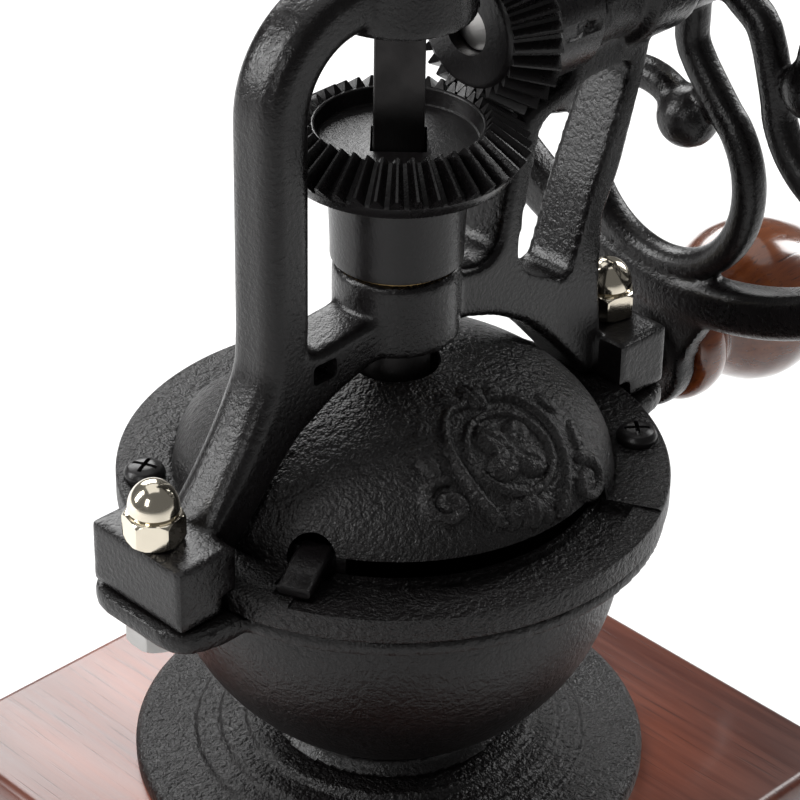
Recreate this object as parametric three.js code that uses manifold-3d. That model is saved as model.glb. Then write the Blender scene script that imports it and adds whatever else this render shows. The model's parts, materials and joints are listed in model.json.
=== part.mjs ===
// Hand crank coffee grinder with a side flywheel, millimetres, +Z up.
// Origin: centre of the underside of the base. +X points along the drive shaft towards the flywheel,
// -Y is the front, where the drawer opens and the lid carries its ornament.
import * as THREE from "three";
import { mergeVertices } from "three/addons/utils/BufferGeometryUtils.js";
import Module from "manifold-3d";

const wasm = await Module();
wasm.setup();

// ---------------------------------------------------------------- driving dimensions

const clearance = {
  seat: 0.1, // between two faces that rest on each other
  turn: 0.25, // radial, shaft in its bush
  slide: 0.5, // drawer and square spindle, each side
  bolt: 0.35, // radial, screw in its hole
  swing: 0.6, // lid door to the lid and the bowl
};

const box = {
  side: 131.6, // top board, square
  height: 90, // ground to the top of the top board
  topBoard: 8,
  wallInset: 9, // walls stand this far inside the top board's edge
  wall: 8,
  plinthInset: 2.5,
  plinth: 10,
  edgeRound: 3,
  padThick: 2, // felt under the plinth
  padInset: 6,
  drawerHeight: 44,
  drawerWidth: 84,
  drawerAboveFloor: 6,
  drawerBoard: 5,
  drawerFrontThick: 9,
  drawerFrontLap: 4, // how far the drawer front covers the opening's edges
  chuteRadius: 17,
};

const plate = {
  radius: 51,
  thickness: 4.3,
  stepRadii: [38.4, 33.6, 28.4],
  stepRise: 1.5,
  chuteRadius: 16,
  screwCircle: 44,
  screwCount: 3,
  screwDepth: 3.2,
};

const bowl = {
  radius: 44.9, // outer sphere
  wall: 6.4,
  centreBelowLid: 16, // sphere centre below the lid flange's top face
  rimRadius: 52.5,
  rimThick: 3.4,
  neckRadius: 20,
  earReach: 65.7,
  earHalfWidth: 14.8,
  earCorner: 5,
  earThick: 4.4,
};

const lid = {
  flangeRadius: 53,
  flangeThick: 5.6,
  aboveBox: 68, // flange top above the box top
  domeRadius: 42,
  domeHeight: 22.5,
  wall: 2.4,
  holeRadius: 8.6,
  windowFrom: 52, // degrees about Z from +X
  windowTo: 124,
  windowLow: 3, // above the flange top
  windowHigh: 15,
  slotFrom: 199,
  slotTo: 297,
  slotHeight: 4.2,
  screwAngle: 145,
  screwCircle: 47.6,
  trackDepth: 2,
  trackInner: 41,
  trackOuter: 47.5,
};

const door = {
  wall: 1.6,
  tabAngle: 205,
  tabWidth: 6.5,
  tabReach: 50,
  notchRadius: 4.6,
  overlap: 5, // degrees that the door covers past each side of the window
};

const gears = {
  lowerTeeth: 40,
  upperTeeth: 30,
  module: 1.17,
  faceShare: 0.3, // tooth length as a share of the cone distance
  toothShare: 0.42, // tooth width at the pitch line as a share of the pitch
  flank: 20, // degrees
  dedendum: 1.25, // modules
  apexAboveLid: 84.5, // height of the drive shaft's axis over the flange top
  rimDepth: 3, // metal below the tooth roots, along the gear's axis
  recess: 3.4, // of the lower gear's top face
  hubTopRadius: 13.8,
  hubBottomRadius: 12.4,
  washer: 0.7,
  upperHub: 14.5,
  upperHubEnd: 38.5,
  pinRadius: 1.5,
  pinAt: 32,
};

const frameSize = {
  depth: 12, // front to back of the cast bars
  edge: 1.2,
  postX: -31,
  postWidth: 10.5,
  postRound: 3.6,
  upperBossRadius: 13.7,
  upperBossLow: 93, // heights over the flange top
  upperBossHigh: 116,
  lowerBossRadius: 12,
  lowerBossLow: 28.5,
  lowerBossHigh: 43.6,
  bearingRadius: 12,
  bearingFrom: 41,
  housingRadius: 14.5,
  housingFrom: 52.5,
  housingTo: 66,
  blockOuter: 64.2,
  blockInner: 50.8,
  blockHalfWidth: 12.2,
  blockTop: 9,
  blockStep: 54.3, // outside this X the block reaches down to the bowl's ear
  nutX: 59.5,
  archTop: 99.5, // centre line of the bend's end, over the flange top
  archRadius: 17.5,
  gearArchTop: 110,
  gearArchWidth: 10,
  legOut: 63,
};

const clamp = {
  boltRadius: 3,
  flats: 10, // of the domed nuts and of the bolts' heads
  hexHeight: 5.5,
  height: 12,
  domeRadius: 4.75,
  boltIn: 8, // how far the bolt reaches into its nut
  headHeight: 4,
};

const spindleSize = {
  square: 9.2,
  yaw: 45, // degrees between the square's flats and the X axis
  journal: 6.6, // radius in the lower boss
  neck: 4.5, // radius in the upper boss
  thread: 4, // radius of the thread above it
  above: 16, // thread above the upper boss
  squareBelowBoss: 3,
};

const shaftSize = { radius: 5, threadRadius: 4, from: 19, to: 98 };

const bushes = {
  lower: { outer: 9.4, inner: spindleSize.journal + clearance.turn },
  upper: { outer: 7.4, inner: spindleSize.neck + clearance.turn },
  drive: { outer: 8, inner: shaftSize.radius + clearance.turn },
};

const wheel = {
  planeX: 79.5,
  outerRadius: 82.5,
  rimWidth: 10,
  rimDepth: 9,
  hubRadius: 13,
  hubFrom: 67.5,
  hubTo: 87,
  scrollPairs: 3,
  pairAngle: 241, // middle of the first mirrored pair, degrees from +Y towards +Z
  scrollAngle: 33.2, // a scroll's middle from the middle of its pair
  scrollCentre: 50.4, // from the wheel's axis to the middle of a scroll
  scrollRadius: 21.8, // of the scroll's centre line
  scrollDepth: 7,
  lugAngle: 272.7, // where the handle's lug stands outside the rim, degrees from +Y towards +Z
  lugCentre: 94.5,
  lugRadius: 11.5,
  lugTop: 81, // the X of the face that the knob turns against
  ballRadius: 6.5,
  scrollWidth: 6.6,
};

const knobSize = { length: 52, radius: 17.6, bolt: 3, headRadius: 5.5, headHeight: 3.4, nutHeight: 4.5 };

const burr = {
  innerTop: 9.5,
  innerBottom: 17,
  height: 20, // of the fixed ring
  gap: 0.9, // between the burrs at the finest setting
  drop: 2.5, // the cone's underside over the ring's
  flutes: 12,
  ring: 21.4,
  seat: 5.5, // the ring's underside over the neck's
  boltRadius: 4,
  nutHeight: 4,
};

// sides of the circles that turned pieces are made of
const facets = { rim: 40, large: 32, middle: 20, small: 16, tiny: 12 };

// ---------------------------------------------------------------- derived levels

const boxTop = box.height;
const lidTop = boxTop + lid.aboveBox;
const lidBottom = lidTop - lid.flangeThick;
const rimTop = lidBottom - clearance.seat;
const sphereZ = lidTop - bowl.centreBelowLid;
const plateBottom = boxTop + clearance.seat;
const plateTop = plateBottom + plate.thickness + plate.stepRise * plate.stepRadii.length;
const neckBottom = plateTop + clearance.seat;
const axisZ = lidTop + gears.apexAboveLid;
const wallBottom = box.padThick + box.plinth + clearance.seat;
const wallTop = boxTop - box.topBoard - clearance.seat;
const wallOut = box.side / 2 - box.wallInset;
const blockBase = lidTop + clearance.seat;
const earTop = lidTop - 4.3;
const blockTopZ = lidTop + frameSize.blockTop;

// ---------------------------------------------------------------- geometry helpers

const rad = (degrees) => (degrees * Math.PI) / 180;

/** A closed three.js geometry as a manifold solid. */
function solid(geometry) {
  const bare = geometry.clone();
  for (const name of Object.keys(bare.attributes)) {
    if (name !== "position") bare.deleteAttribute(name);
  }
  const merged = mergeVertices(bare, 1e-4);
  return new wasm.Manifold(
    new wasm.Mesh({
      numProp: 3,
      vertProperties: new Float32Array(merged.attributes.position.array),
      triVerts: new Uint32Array(merged.index.array),
    }),
  );
}

/** A manifold solid as a three.js geometry with flat shading. */
function geometryOf(body) {
  const mesh = body.getMesh();
  const stride = mesh.numProp;
  const points = new Float32Array(mesh.numVert * 3);
  for (let i = 0; i < mesh.numVert; i++) {
    points.set(mesh.vertProperties.subarray(i * stride, i * stride + 3), i * 3);
  }
  const geometry = new THREE.BufferGeometry();
  geometry.setAttribute("position", new THREE.BufferAttribute(points, 3));
  geometry.setIndex(new THREE.BufferAttribute(new Uint32Array(mesh.triVerts), 1));
  const flat = geometry.toNonIndexed();
  flat.computeVertexNormals();
  return flat;
}

const union = (bodies) => bodies.reduce((a, b) => a.add(b));
const cut = (body, tools) => tools.reduce((a, b) => a.subtract(b), body);

/** Turns a profile of [radius, height] points round the Z axis. */
function turned(profile, segments = facets.large) {
  const points = profile.map(([r, z]) => new THREE.Vector2(r, z));
  const area = points.reduce((sum, p, i) => {
    const q = points[(i + 1) % points.length];
    return sum + p.x * q.y - q.x * p.y;
  }, 0);
  if (area < 0) points.reverse();
  const onAxis = points[0].x === 0 && points[points.length - 1].x === 0;
  if (!onAxis) points.push(points[0].clone());
  return new THREE.LatheGeometry(points, segments).rotateX(Math.PI / 2);
}

/** A cylinder along Z from one height to the other. */
function rod(radius, low, high, segments = facets.small) {
  return turned([[0, low], [radius, low], [radius, high], [0, high]], segments);
}

/** A rod along Z with small chamfers at both ends. */
function chamferedRod(radius, low, high, chamfer, segments = facets.middle) {
  return turned(
    [[0, low], [radius - chamfer, low], [radius, low + chamfer], [radius, high - chamfer],
      [radius - chamfer, high], [0, high]],
    segments,
  );
}

function tube(outer, inner, low, high, segments = facets.middle) {
  return turned([[inner, low], [outer, low], [outer, high], [inner, high]], segments);
}

function block(xRange, yRange, zRange) {
  const size = [xRange, yRange, zRange].map(([a, b]) => b - a);
  const middle = [xRange, yRange, zRange].map(([a, b]) => (a + b) / 2);
  return new THREE.BoxGeometry(...size).translate(...middle);
}

/** Points on a circular arc, angles in degrees. */
function arc(cx, cy, radius, from, to, steps) {
  return Array.from({ length: steps + 1 }, (_, i) => {
    const a = rad(from + ((to - from) * i) / steps);
    return [cx + radius * Math.cos(a), cy + radius * Math.sin(a)];
  });
}

/** A flat outline of [x, y] points extruded along +Z, with its edges rounded by a bevel. */
function slab(outline, low, high, bevel = 0, segments = 2, holes = []) {
  const shape = new THREE.Shape(outline.map(([x, y]) => new THREE.Vector2(x, y)));
  for (const hole of holes) {
    shape.holes.push(new THREE.Path(hole.map(([x, y]) => new THREE.Vector2(x, y))));
  }
  return new THREE.ExtrudeGeometry(shape, {
    depth: high - low - 2 * bevel,
    bevelEnabled: bevel > 0,
    bevelThickness: bevel,
    bevelSize: bevel,
    bevelOffset: -bevel,
    bevelSegments: segments,
    curveSegments: 8,
  }).translate(0, 0, low + bevel);
}

/** A rectangle about the origin with rounded corners. */
function roundedRectangle(halfX, halfY, corner, steps = 3) {
  return [
    ...arc(halfX - corner, halfY - corner, corner, 0, 90, steps),
    ...arc(-halfX + corner, halfY - corner, corner, 90, 180, steps),
    ...arc(-halfX + corner, -halfY + corner, corner, 180, 270, steps),
    ...arc(halfX - corner, -halfY + corner, corner, 270, 360, steps),
  ];
}

/** A board with softened edges, from its ranges along X, Y and Z. */
function board(xRange, yRange, zRange, edge = 0.8) {
  const [halfX, halfY] = [xRange, yRange].map(([a, b]) => (b - a) / 2);
  const outline = [[-halfX, -halfY], [halfX, -halfY], [halfX, halfY], [-halfX, halfY]];
  const made = slab(outline, zRange[0], zRange[1], edge, 1);
  return made.translate((xRange[0] + xRange[1]) / 2, (yRange[0] + yRange[1]) / 2, 0);
}

/** The outline of a bar that follows points on the XZ plane with a given half width at each. */
function stroke(points, halfWidths) {
  const left = [];
  const right = [];
  points.forEach(([x, z], i) => {
    const [ax, az] = points[Math.max(i - 1, 0)];
    const [bx, bz] = points[Math.min(i + 1, points.length - 1)];
    const length = Math.hypot(bx - ax, bz - az);
    const [nx, nz] = [-(bz - az) / length, (bx - ax) / length];
    left.push([x + nx * halfWidths[i], z + nz * halfWidths[i]]);
    right.push([x - nx * halfWidths[i], z - nz * halfWidths[i]]);
  });
  return [...right, ...left.reverse()];
}

/** An outline on the XZ plane made into a bar centred on Y = 0. */
function upright(outline, depth, bevel, segments, holes) {
  return slab(outline, -depth / 2, depth / 2, bevel, segments, holes).rotateX(Math.PI / 2);
}

/** A pie slice about Z between two angles, for cutting sectors. */
function wedge(from, to, radius, low, high) {
  const steps = Math.max(2, Math.ceil((to - from) / 15));
  return slab([[0, 0], ...arc(0, 0, radius, from, to, steps)], low, high);
}

/** Turns a geometry built along +Z so that it lies along +X at the drive shaft's height. */
function alongShaft(geometry) {
  return geometry.rotateY(Math.PI / 2).translate(0, 0, axisZ);
}

/** A hexagon outline, from its width across flats. */
function hexagon(acrossFlats) {
  return arc(0, 0, acrossFlats / Math.sqrt(3), 0, 300, 5);
}

// ---------------------------------------------------------------- scene graph

const grinder = new THREE.Group();
const finish = {
  wood: { color: 0x5a1c10, roughness: 0.4, metalness: 0 },
  darkWood: { color: 0x471409, roughness: 0.4, metalness: 0 },
  paleWood: { color: 0xa8794a, roughness: 0.7, metalness: 0 },
  cast: { color: 0x1b1a1b, roughness: 0.55, metalness: 0.3 },
  satin: { color: 0x262527, roughness: 0.4, metalness: 0.3 },
  nickel: { color: 0xcabf9f, roughness: 0.2, metalness: 1 },
  steel: { color: 0x8a8a8a, roughness: 0.35, metalness: 1 },
  black: { color: 0x151515, roughness: 0.35, metalness: 0.6 },
  bronze: { color: 0x9a7338, roughness: 0.4, metalness: 1 },
  knob: { color: 0x74300f, roughness: 0.2, metalness: 0 },
  felt: { color: 0x22301f, roughness: 0.95, metalness: 0 },
};

/** Adds one named part to the grinder. */
function add(name, shape, look) {
  const geometry = shape.isBufferGeometry ? shape : geometryOf(shape);
  const mesh = new THREE.Mesh(geometry, new THREE.MeshStandardMaterial(finish[look]));
  mesh.name = name;
  grinder.add(mesh);
}

// ---------------------------------------------------------------- wooden box

function topBoard() {
  const half = box.side / 2;
  const outline = roundedRectangle(half, half, box.edgeRound);
  const body = solid(slab(outline, boxTop - box.topBoard, boxTop, 1.8, 3));
  const chute = solid(rod(box.chuteRadius, boxTop - box.topBoard - 1, boxTop + 1, facets.middle));
  return cut(body, [chute, ...plateScrewHoles(boxTop - box.topBoard - 1, boxTop + 1)]);
}

function plinth() {
  const half = box.side / 2 - box.plinthInset;
  const outline = roundedRectangle(half, half, box.edgeRound);
  return slab(outline, box.padThick, box.padThick + box.plinth, 1.6, 2);
}

function frontWall() {
  const body = solid(board([-wallOut, wallOut], [-wallOut, -wallOut + box.wall], [wallBottom, wallTop], 0.5));
  const halfOpening = box.drawerWidth / 2 + clearance.slide;
  const low = wallBottom + box.drawerAboveFloor - clearance.slide;
  const high = wallBottom + box.drawerAboveFloor + box.drawerHeight + clearance.slide;
  const opening = block([-halfOpening, halfOpening], [-wallOut - 1, -wallOut + box.wall + 1], [low, high]);
  return cut(body, [solid(opening)]);
}

function buildBox() {
  add("box_top_board", topBoard(), "wood");
  add("box_plinth", plinth(), "wood");
  add("box_front_wall", frontWall(), "wood");
  const inner = wallOut - box.wall;
  const sideY = [-inner + clearance.seat, inner - clearance.seat];
  const height = [wallBottom, wallTop];
  add("box_back_wall", board([-wallOut, wallOut], [inner, wallOut], height, 0.5), "wood");
  add("box_left_wall", board([-wallOut, -inner], sideY, height, 0.5), "wood");
  add("box_right_wall", board([inner, wallOut], sideY, height, 0.5), "wood");
  // two runners under the drawer, glued to the plinth
  const runnerTop = wallBottom + box.drawerAboveFloor - clearance.seat;
  const runnerX = box.drawerWidth / 2 - 8;
  for (const [name, side] of [["drawer_runner_left", -1], ["drawer_runner_right", 1]]) {
    const x = [side * runnerX - 6, side * runnerX + 6];
    const y = [-inner + 2, inner - 2];
    add(name, board(x, y, [wallBottom, runnerTop], 0.4), "paleWood");
  }
  const halfPad = box.side / 2 - box.plinthInset - box.padInset;
  const pad = roundedRectangle(halfPad, halfPad, box.edgeRound);
  add("base_pad", slab(pad, 0, box.padThick - clearance.seat), "felt");
}

function buildDrawer() {
  const low = wallBottom + box.drawerAboveFloor;
  const high = low + box.drawerHeight - clearance.slide;
  const halfWidth = box.drawerWidth / 2 - clearance.slide;
  const frontY = -wallOut - clearance.seat;
  const backY = wallOut - box.wall - 6;
  const t = box.drawerBoard;
  const lap = box.drawerFrontLap;
  const x = [-halfWidth - lap, halfWidth + lap];
  const face = board(x, [frontY - box.drawerFrontThick, frontY], [low - lap, high + lap], 1.4);
  const sideY = [frontY + clearance.seat, backY];
  const floorTop = low + t;
  for (const [name, side] of [["drawer_left_side", -1], ["drawer_right_side", 1]]) {
    const edges = [side * halfWidth, side * (halfWidth - t)].sort((a, b) => a - b);
    add(name, board(edges, sideY, [floorTop + clearance.seat, high], 0.4), "paleWood");
  }
  const innerX = halfWidth - t - clearance.seat;
  const backBoard = board([-innerX, innerX], [backY - t, backY], [floorTop + clearance.seat, high], 0.4);
  add("drawer_back", backBoard, "paleWood");
  add("drawer_floor", board([-halfWidth, halfWidth], sideY, [low, floorTop], 0.4), "paleWood");
  const middleZ = (low + high) / 2;
  const outY = frontY - box.drawerFrontThick;
  const bore = 12;
  const pull = turned(
    [[0, bore], [2.2, bore], [2.2, 0.1], [6.5, 0.1], [6.5, 1.6], [4.2, 3.2], [4.6, 7], [8.2, 11], [9, 14.5],
      [7.6, 18], [3, 20], [0, 20.2]],
    facets.middle,
  );
  add("drawer_knob", pull.rotateX(Math.PI / 2).translate(0, outY, middleZ), "bronze");
  // the screw's head sits inside the drawer, its shank passes through the front and into the knob
  const inside = -box.drawerFrontThick - clearance.seat;
  const shank = 1.9;
  const screw = turned(
    [[0, inside - 2.4], [4.5, inside - 2.4], [4.5, inside], [shank, inside], [shank, bore - 0.5],
      [0, bore - 0.5]],
    facets.tiny,
  );
  add("drawer_knob_screw", screw.rotateX(Math.PI / 2).translate(0, outY, middleZ), "steel");
  const hole = rod(shank + clearance.bolt, -box.drawerFrontThick - 1, 1, facets.small);
  hole.rotateX(Math.PI / 2).translate(0, outY, middleZ);
  add("drawer_front", cut(solid(face), [solid(hole)]), "darkWood");
}

// ---------------------------------------------------------------- cast body

/** The place of something on a circle about Z, at an angle in degrees. */
const onCircle = (radius, angle) => [radius * Math.cos(rad(angle)), radius * Math.sin(rad(angle)), 0];

/** Angles, in degrees, of the base plate's screws. */
const plateScrews = Array.from({ length: plate.screwCount }, (_, i) => 90 + (360 / plate.screwCount) * i);

/** The holes that the base plate's screws pass through, between two heights. */
function plateScrewHoles(low, high) {
  return plateScrews.map((angle) => {
    const hole = rod(1.9 + clearance.bolt, low, high, facets.tiny);
    return solid(hole.translate(...onCircle(plate.screwCircle, angle)));
  });
}

function basePlate() {
  const low = plateBottom;
  const rings = plate.stepRadii.flatMap((r, i) => {
    const z = low + plate.thickness + plate.stepRise * i;
    return [[r + 0.6, z], [r, z + plate.stepRise]];
  });
  const outline = [
    [plate.chuteRadius, low], [plate.radius, low], [plate.radius, low + plate.thickness - 1.2],
    [plate.radius - 1.2, low + plate.thickness], ...rings, [plate.chuteRadius, plateTop],
  ];
  return cut(solid(turned(outline, facets.large)), plateScrewHoles(low - 1, low + plate.screwDepth));
}

/** A wood screw through the top board from below into the base plate. */
function plateScrew(angle) {
  const head = boxTop - box.topBoard - clearance.seat;
  const tip = plateBottom + plate.screwDepth - 0.4;
  const profile = [[0, head - 2.4], [2.6, head - 2.4], [3.8, head], [1.9, head], [1.9, tip], [0, tip]];
  const screw = turned(profile, facets.tiny);
  return screw.translate(...onCircle(plate.screwCircle, angle));
}

/** Points on the bowl's sphere of a given radius between two heights. */
function sphereArc(radius, fromZ, toZ, steps) {
  const a = Math.asin((fromZ - sphereZ) / radius);
  const b = Math.asin((toZ - sphereZ) / radius);
  return arc(0, sphereZ, radius, THREE.MathUtils.radToDeg(a), THREE.MathUtils.radToDeg(b), steps);
}

const ringLow = neckBottom + burr.seat; // underside of the fixed burr ring
const ringHigh = ringLow + burr.height;

function ear(side) {
  const x = side * bowl.earReach;
  const inner = side * (bowl.radius - 4);
  const halfX = (bowl.earReach - (bowl.radius - 4)) / 2;
  const outline = roundedRectangle(halfX, bowl.earHalfWidth, bowl.earCorner);
  return slab(outline, earTop - bowl.earThick, earTop, 0.5, 1).translate((x + inner) / 2, 0, 0);
}

function bowlBody() {
  const neckMeet = sphereZ - Math.sqrt(bowl.radius ** 2 - (bowl.neckRadius + 1) ** 2);
  const rimLow = rimTop - bowl.rimThick;
  const inner = bowl.radius - bowl.wall;
  const pocket = burr.ring + clearance.turn;
  const funnelTop = ringHigh + 3;
  const profile = [
    [plate.chuteRadius, neckBottom], [bowl.neckRadius + 4, neckBottom],
    [bowl.neckRadius + 1.2, neckBottom + 1.2],
    ...sphereArc(bowl.radius, neckMeet + 1, rimLow, 6), [bowl.rimRadius, rimLow + 0.6],
    [bowl.rimRadius, rimTop],
    ...sphereArc(inner, rimTop, funnelTop, 3), [pocket, ringHigh], [pocket, ringLow - clearance.seat],
    [plate.chuteRadius, ringLow - clearance.seat],
  ];
  const lugs = [-1, 1].map((side) => solid(ear(side)));
  const hollow = [[0, ringHigh], ...sphereArc(inner, funnelTop, rimTop, 3), [0, rimTop]];
  const inside = solid(turned(hollow, facets.large));
  const below = lidUnderside();
  const trimmed = lugs.map((lug) => cut(lug, [inside, below]));
  const shell = union([solid(turned(profile, facets.large)), ...trimmed]);
  const holes = [-1, 1].map((side) => {
    const hole = rod(3 + clearance.bolt, earTop - 20, earTop + 5, facets.small);
    return solid(hole.translate(side * frameSize.nutX, 0, 0));
  });
  const screwHoles = lidScrewPlaces().map(([x, y]) => {
    return solid(rod(2 + clearance.bolt, rimTop - 6, rimTop + 1, facets.tiny).translate(x, y, 0));
  });
  return cut(shell, [...holes, ...screwHoles]);
}

/** The space of the lid's flange, which the bowl's ears stay out of. */
function lidUnderside() {
  return solid(rod(lid.flangeRadius + 0.4, rimTop, lidTop + 1, facets.large));
}

// ---------------------------------------------------------------- lid and its door

/** Points on the dome's elliptic section, offset inwards, from its foot to a given radius. */
function domeArc(inset, toRadius, steps) {
  const a = lid.domeRadius - inset;
  const b = lid.domeHeight - inset;
  const end = Math.acos(toRadius / a);
  return Array.from({ length: steps + 1 }, (_, i) => {
    const t = (end * i) / steps;
    return [a * Math.cos(t), lidTop + b * Math.sin(t)];
  });
}

function lidScrewPlaces() {
  return [0, 180].map((turn) => {
    const a = rad(lid.screwAngle + turn);
    return [lid.screwCircle * Math.cos(a), lid.screwCircle * Math.sin(a)];
  });
}

function lidBody() {
  const outside = domeArc(0, lid.holeRadius, 7);
  const inside = domeArc(lid.wall, lid.holeRadius, 5).reverse();
  const throat = lid.domeRadius - lid.wall;
  const profile = [
    [throat, lidBottom], [lid.flangeRadius - 0.4, lidBottom], [lid.flangeRadius, lidBottom + 0.5],
    [lid.flangeRadius, lidTop - 0.6], [lid.flangeRadius - 0.6, lidTop], ...outside, ...inside,
  ];
  const body = solid(turned(profile, facets.large));
  const reach = lid.flangeRadius + 2;
  const window = wedge(lid.windowFrom, lid.windowTo, reach, lidTop + lid.windowLow, lidTop + lid.windowHigh);
  const slotZ = [lidTop - 0.01, lidTop + lid.slotHeight];
  const slot = wedge(lid.slotFrom, lid.slotTo, reach, ...slotZ);
  const floor = lidTop - lid.trackDepth;
  const trackDisc = solid(wedge(lid.slotFrom, lid.slotTo, lid.trackOuter, floor, lidTop + 1));
  const track = cut(trackDisc, [solid(rod(lid.trackInner, floor - 1, lidTop + 2, facets.large))]);
  // an arched notch in the dome's foot, which the door's tab stands in
  const { notchRadius, tabAngle } = door;
  const notch = new THREE.CylinderGeometry(notchRadius, notchRadius, lid.domeRadius, facets.middle, 1);
  notch.rotateZ(Math.PI / 2).translate(lid.domeRadius, 0, lidTop + 2.2);
  notch.rotateZ(rad(tabAngle));
  const holes = lidScrewPlaces().map(([x, y]) => {
    return solid(rod(2 + clearance.bolt, lidBottom - 1, lidTop + 1, facets.tiny).translate(x, y, 0));
  });
  // the notch is cut above the flange only
  const flange = solid(rod(lid.domeRadius * 2, lidTop - 10, lidTop - 0.01, facets.large));
  const tabPath = cut(solid(notch), [flange]);
  return cut(body, [solid(window), solid(slot), track, tabPath, ...holes]);
}

function panScrew(x, y, low, top) {
  const profile = [[0, low], [1.7, low], [2, low + 0.4], [2, top], [4, top], [4, top + 1.3],
    [3.2, top + 2.4], [0, top + 2.8]];
  const body = solid(turned(profile, facets.small));
  const slots = [0, 90].map((angle) => {
    const bar = block([-2.4, 2.4], [-0.4, 0.4], [top + 1.2, top + 4]);
    return solid(bar.rotateZ(rad(angle + 20)));
  });
  const made = cut(body, slots);
  return geometryOf(made).translate(x, y, 0);
}

function lidDoor() {
  const inset = lid.wall + clearance.swing;
  const low = rimTop + clearance.seat;
  const outer = domeArc(inset, 14, 6);
  const inner = domeArc(inset + door.wall, 14, 6).reverse();
  const skirt = [[outer[0][0] - door.wall, low], [outer[0][0], low]];
  const shell = solid(turned([...skirt, ...outer, ...inner], facets.large));
  const from = lid.windowFrom - door.overlap;
  const to = lid.windowTo + door.overlap;
  const tabHalf = THREE.MathUtils.radToDeg(door.tabWidth / lid.domeRadius);
  const panel = shell.intersect(solid(wedge(from, to, 60, low - 1, lidTop + 40)));
  const band = shell.intersect(solid(wedge(from, door.tabAngle + tabHalf, 60, low - 1, lidTop + 3)));
  const tab = block(
    [outer[0][0] - door.wall / 2, door.tabReach], [-door.tabWidth / 2, door.tabWidth / 2],
    [lidTop + 0.3, lidTop + 3.2],
  );
  return union([panel, band, solid(tab.rotateZ(rad(door.tabAngle)))]);
}

// ---------------------------------------------------------------- burrs and spindle

const burrLow = ringLow + burr.drop;

/** The cone's radius at a height, widened by a gap. */
function burrRadius(z, gap) {
  const share = (z - burrLow) / (burr.height - burr.drop);
  return burr.innerBottom + (burr.innerTop - burr.innerBottom) * share + gap;
}

/** Slanting grooves round a cone, as bars to cut away. */
function grooves(count, low, high, radiusLow, radiusHigh, depth, twist) {
  return Array.from({ length: count }, (_, i) => {
    const a = (360 / count) * i;
    const corners = [[low, radiusLow, a], [high, radiusHigh, a + twist]].flatMap(([z, r, angle]) => {
      return [[r - depth, -1.1], [r + 2, -1.6], [r + 2, 1.6], [r - depth, 1.1]].map(([x, y]) => {
        const [c, s] = [Math.cos(rad(angle)), Math.sin(rad(angle))];
        return [x * c - y * s, x * s + y * c, z];
      });
    });
    return solid(hexahedron(corners));
  });
}

/** A solid with six sides, from the four corners of one end and the four of the other. */
function hexahedron(corners) {
  const faces = [[0, 3, 2, 1], [4, 5, 6, 7], [0, 1, 5, 4], [1, 2, 6, 5], [2, 3, 7, 6], [3, 0, 4, 7]];
  const index = faces.flatMap(([a, b, c, d]) => [a, b, c, a, c, d]);
  const geometry = new THREE.BufferGeometry();
  geometry.setAttribute("position", new THREE.BufferAttribute(new Float32Array(corners.flat()), 3));
  geometry.setIndex(index);
  return geometry;
}

function innerBurr() {
  const high = ringHigh;
  const bore = burr.boltRadius + clearance.seat;
  const cone = turned(
    [[bore, burrLow], [burr.innerBottom, burrLow], [burr.innerTop, high], [bore, high]],
    facets.middle,
  );
  const flutes = grooves(burr.flutes, burrLow - 1, high + 1, burr.innerBottom, burr.innerTop, 1.2, 24);
  return cut(solid(cone), flutes);
}

function outerBurr() {
  const [low, high] = [ringLow, ringHigh - clearance.seat];
  const ring = turned(
    [[burrRadius(low, burr.gap), low], [burr.ring, low], [burr.ring, high],
      [burrRadius(high, burr.gap), high]],
    facets.large,
  );
  return solid(ring);
}

function spindle() {
  const { square, journal, neck, thread } = spindleSize;
  const tip = burrLow - clearance.seat - burr.nutHeight - 3;
  const squareLow = lidTop + frameSize.lowerBossHigh + clearance.seat;
  const squareHigh = lidTop + frameSize.upperBossLow - spindleSize.squareBelowBoss;
  const top = lidTop + frameSize.upperBossHigh;
  const stem = turned(
    [[0, tip], [burr.boltRadius - 0.5, tip], [burr.boltRadius, tip + 0.8], [burr.boltRadius, ringHigh + 0.1],
      [journal, ringHigh + 0.1], [journal, squareLow], [0, squareLow]],
    facets.middle,
  );
  const shank = slab(roundedRectangle(square / 2, square / 2, 0.6, 1), squareLow - 1, squareHigh);
  const upper = turned(
    [[0, squareHigh - 1], [neck, squareHigh - 1], [neck, top - 1], [thread, top],
      [thread, top + spindleSize.above - 1],
      [thread - 1, top + spindleSize.above], [0, top + spindleSize.above]],
    facets.middle,
  );
  return union([solid(stem), solid(shank.rotateZ(rad(spindleSize.yaw))), solid(upper)]);
}

/** A nut on Z between two heights, with its corners turned off. */
function nut(acrossFlats, bore, low, high, segments = facets.small) {
  const corner = acrossFlats / Math.sqrt(3);
  const dressed = turned(
    [[bore, low], [acrossFlats / 2, low], [corner, low + 0.9], [corner, high - 0.9], [acrossFlats / 2, high],
      [bore, high]],
    segments,
  );
  return solid(dressed).intersect(solid(slab(hexagon(acrossFlats), low - 1, high + 1)));
}

/** A knurled wheel on Z: a disc with scallops round its edge. */
function thumbWheel(radius, bore, low, high, scallops) {
  const disc = turned(
    [[bore, low], [radius - 0.8, low], [radius, low + 0.8], [radius, high - 0.8], [radius - 0.8, high],
      [bore, high]],
    facets.middle,
  );
  const cuts = Array.from({ length: scallops }, (_, i) => {
    const hollow = rod(1.8, low - 1, high + 1, 8);
    return solid(hollow.translate(...onCircle(radius + 0.7, (360 / scallops) * i)));
  });
  return cut(solid(disc), cuts);
}

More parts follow.
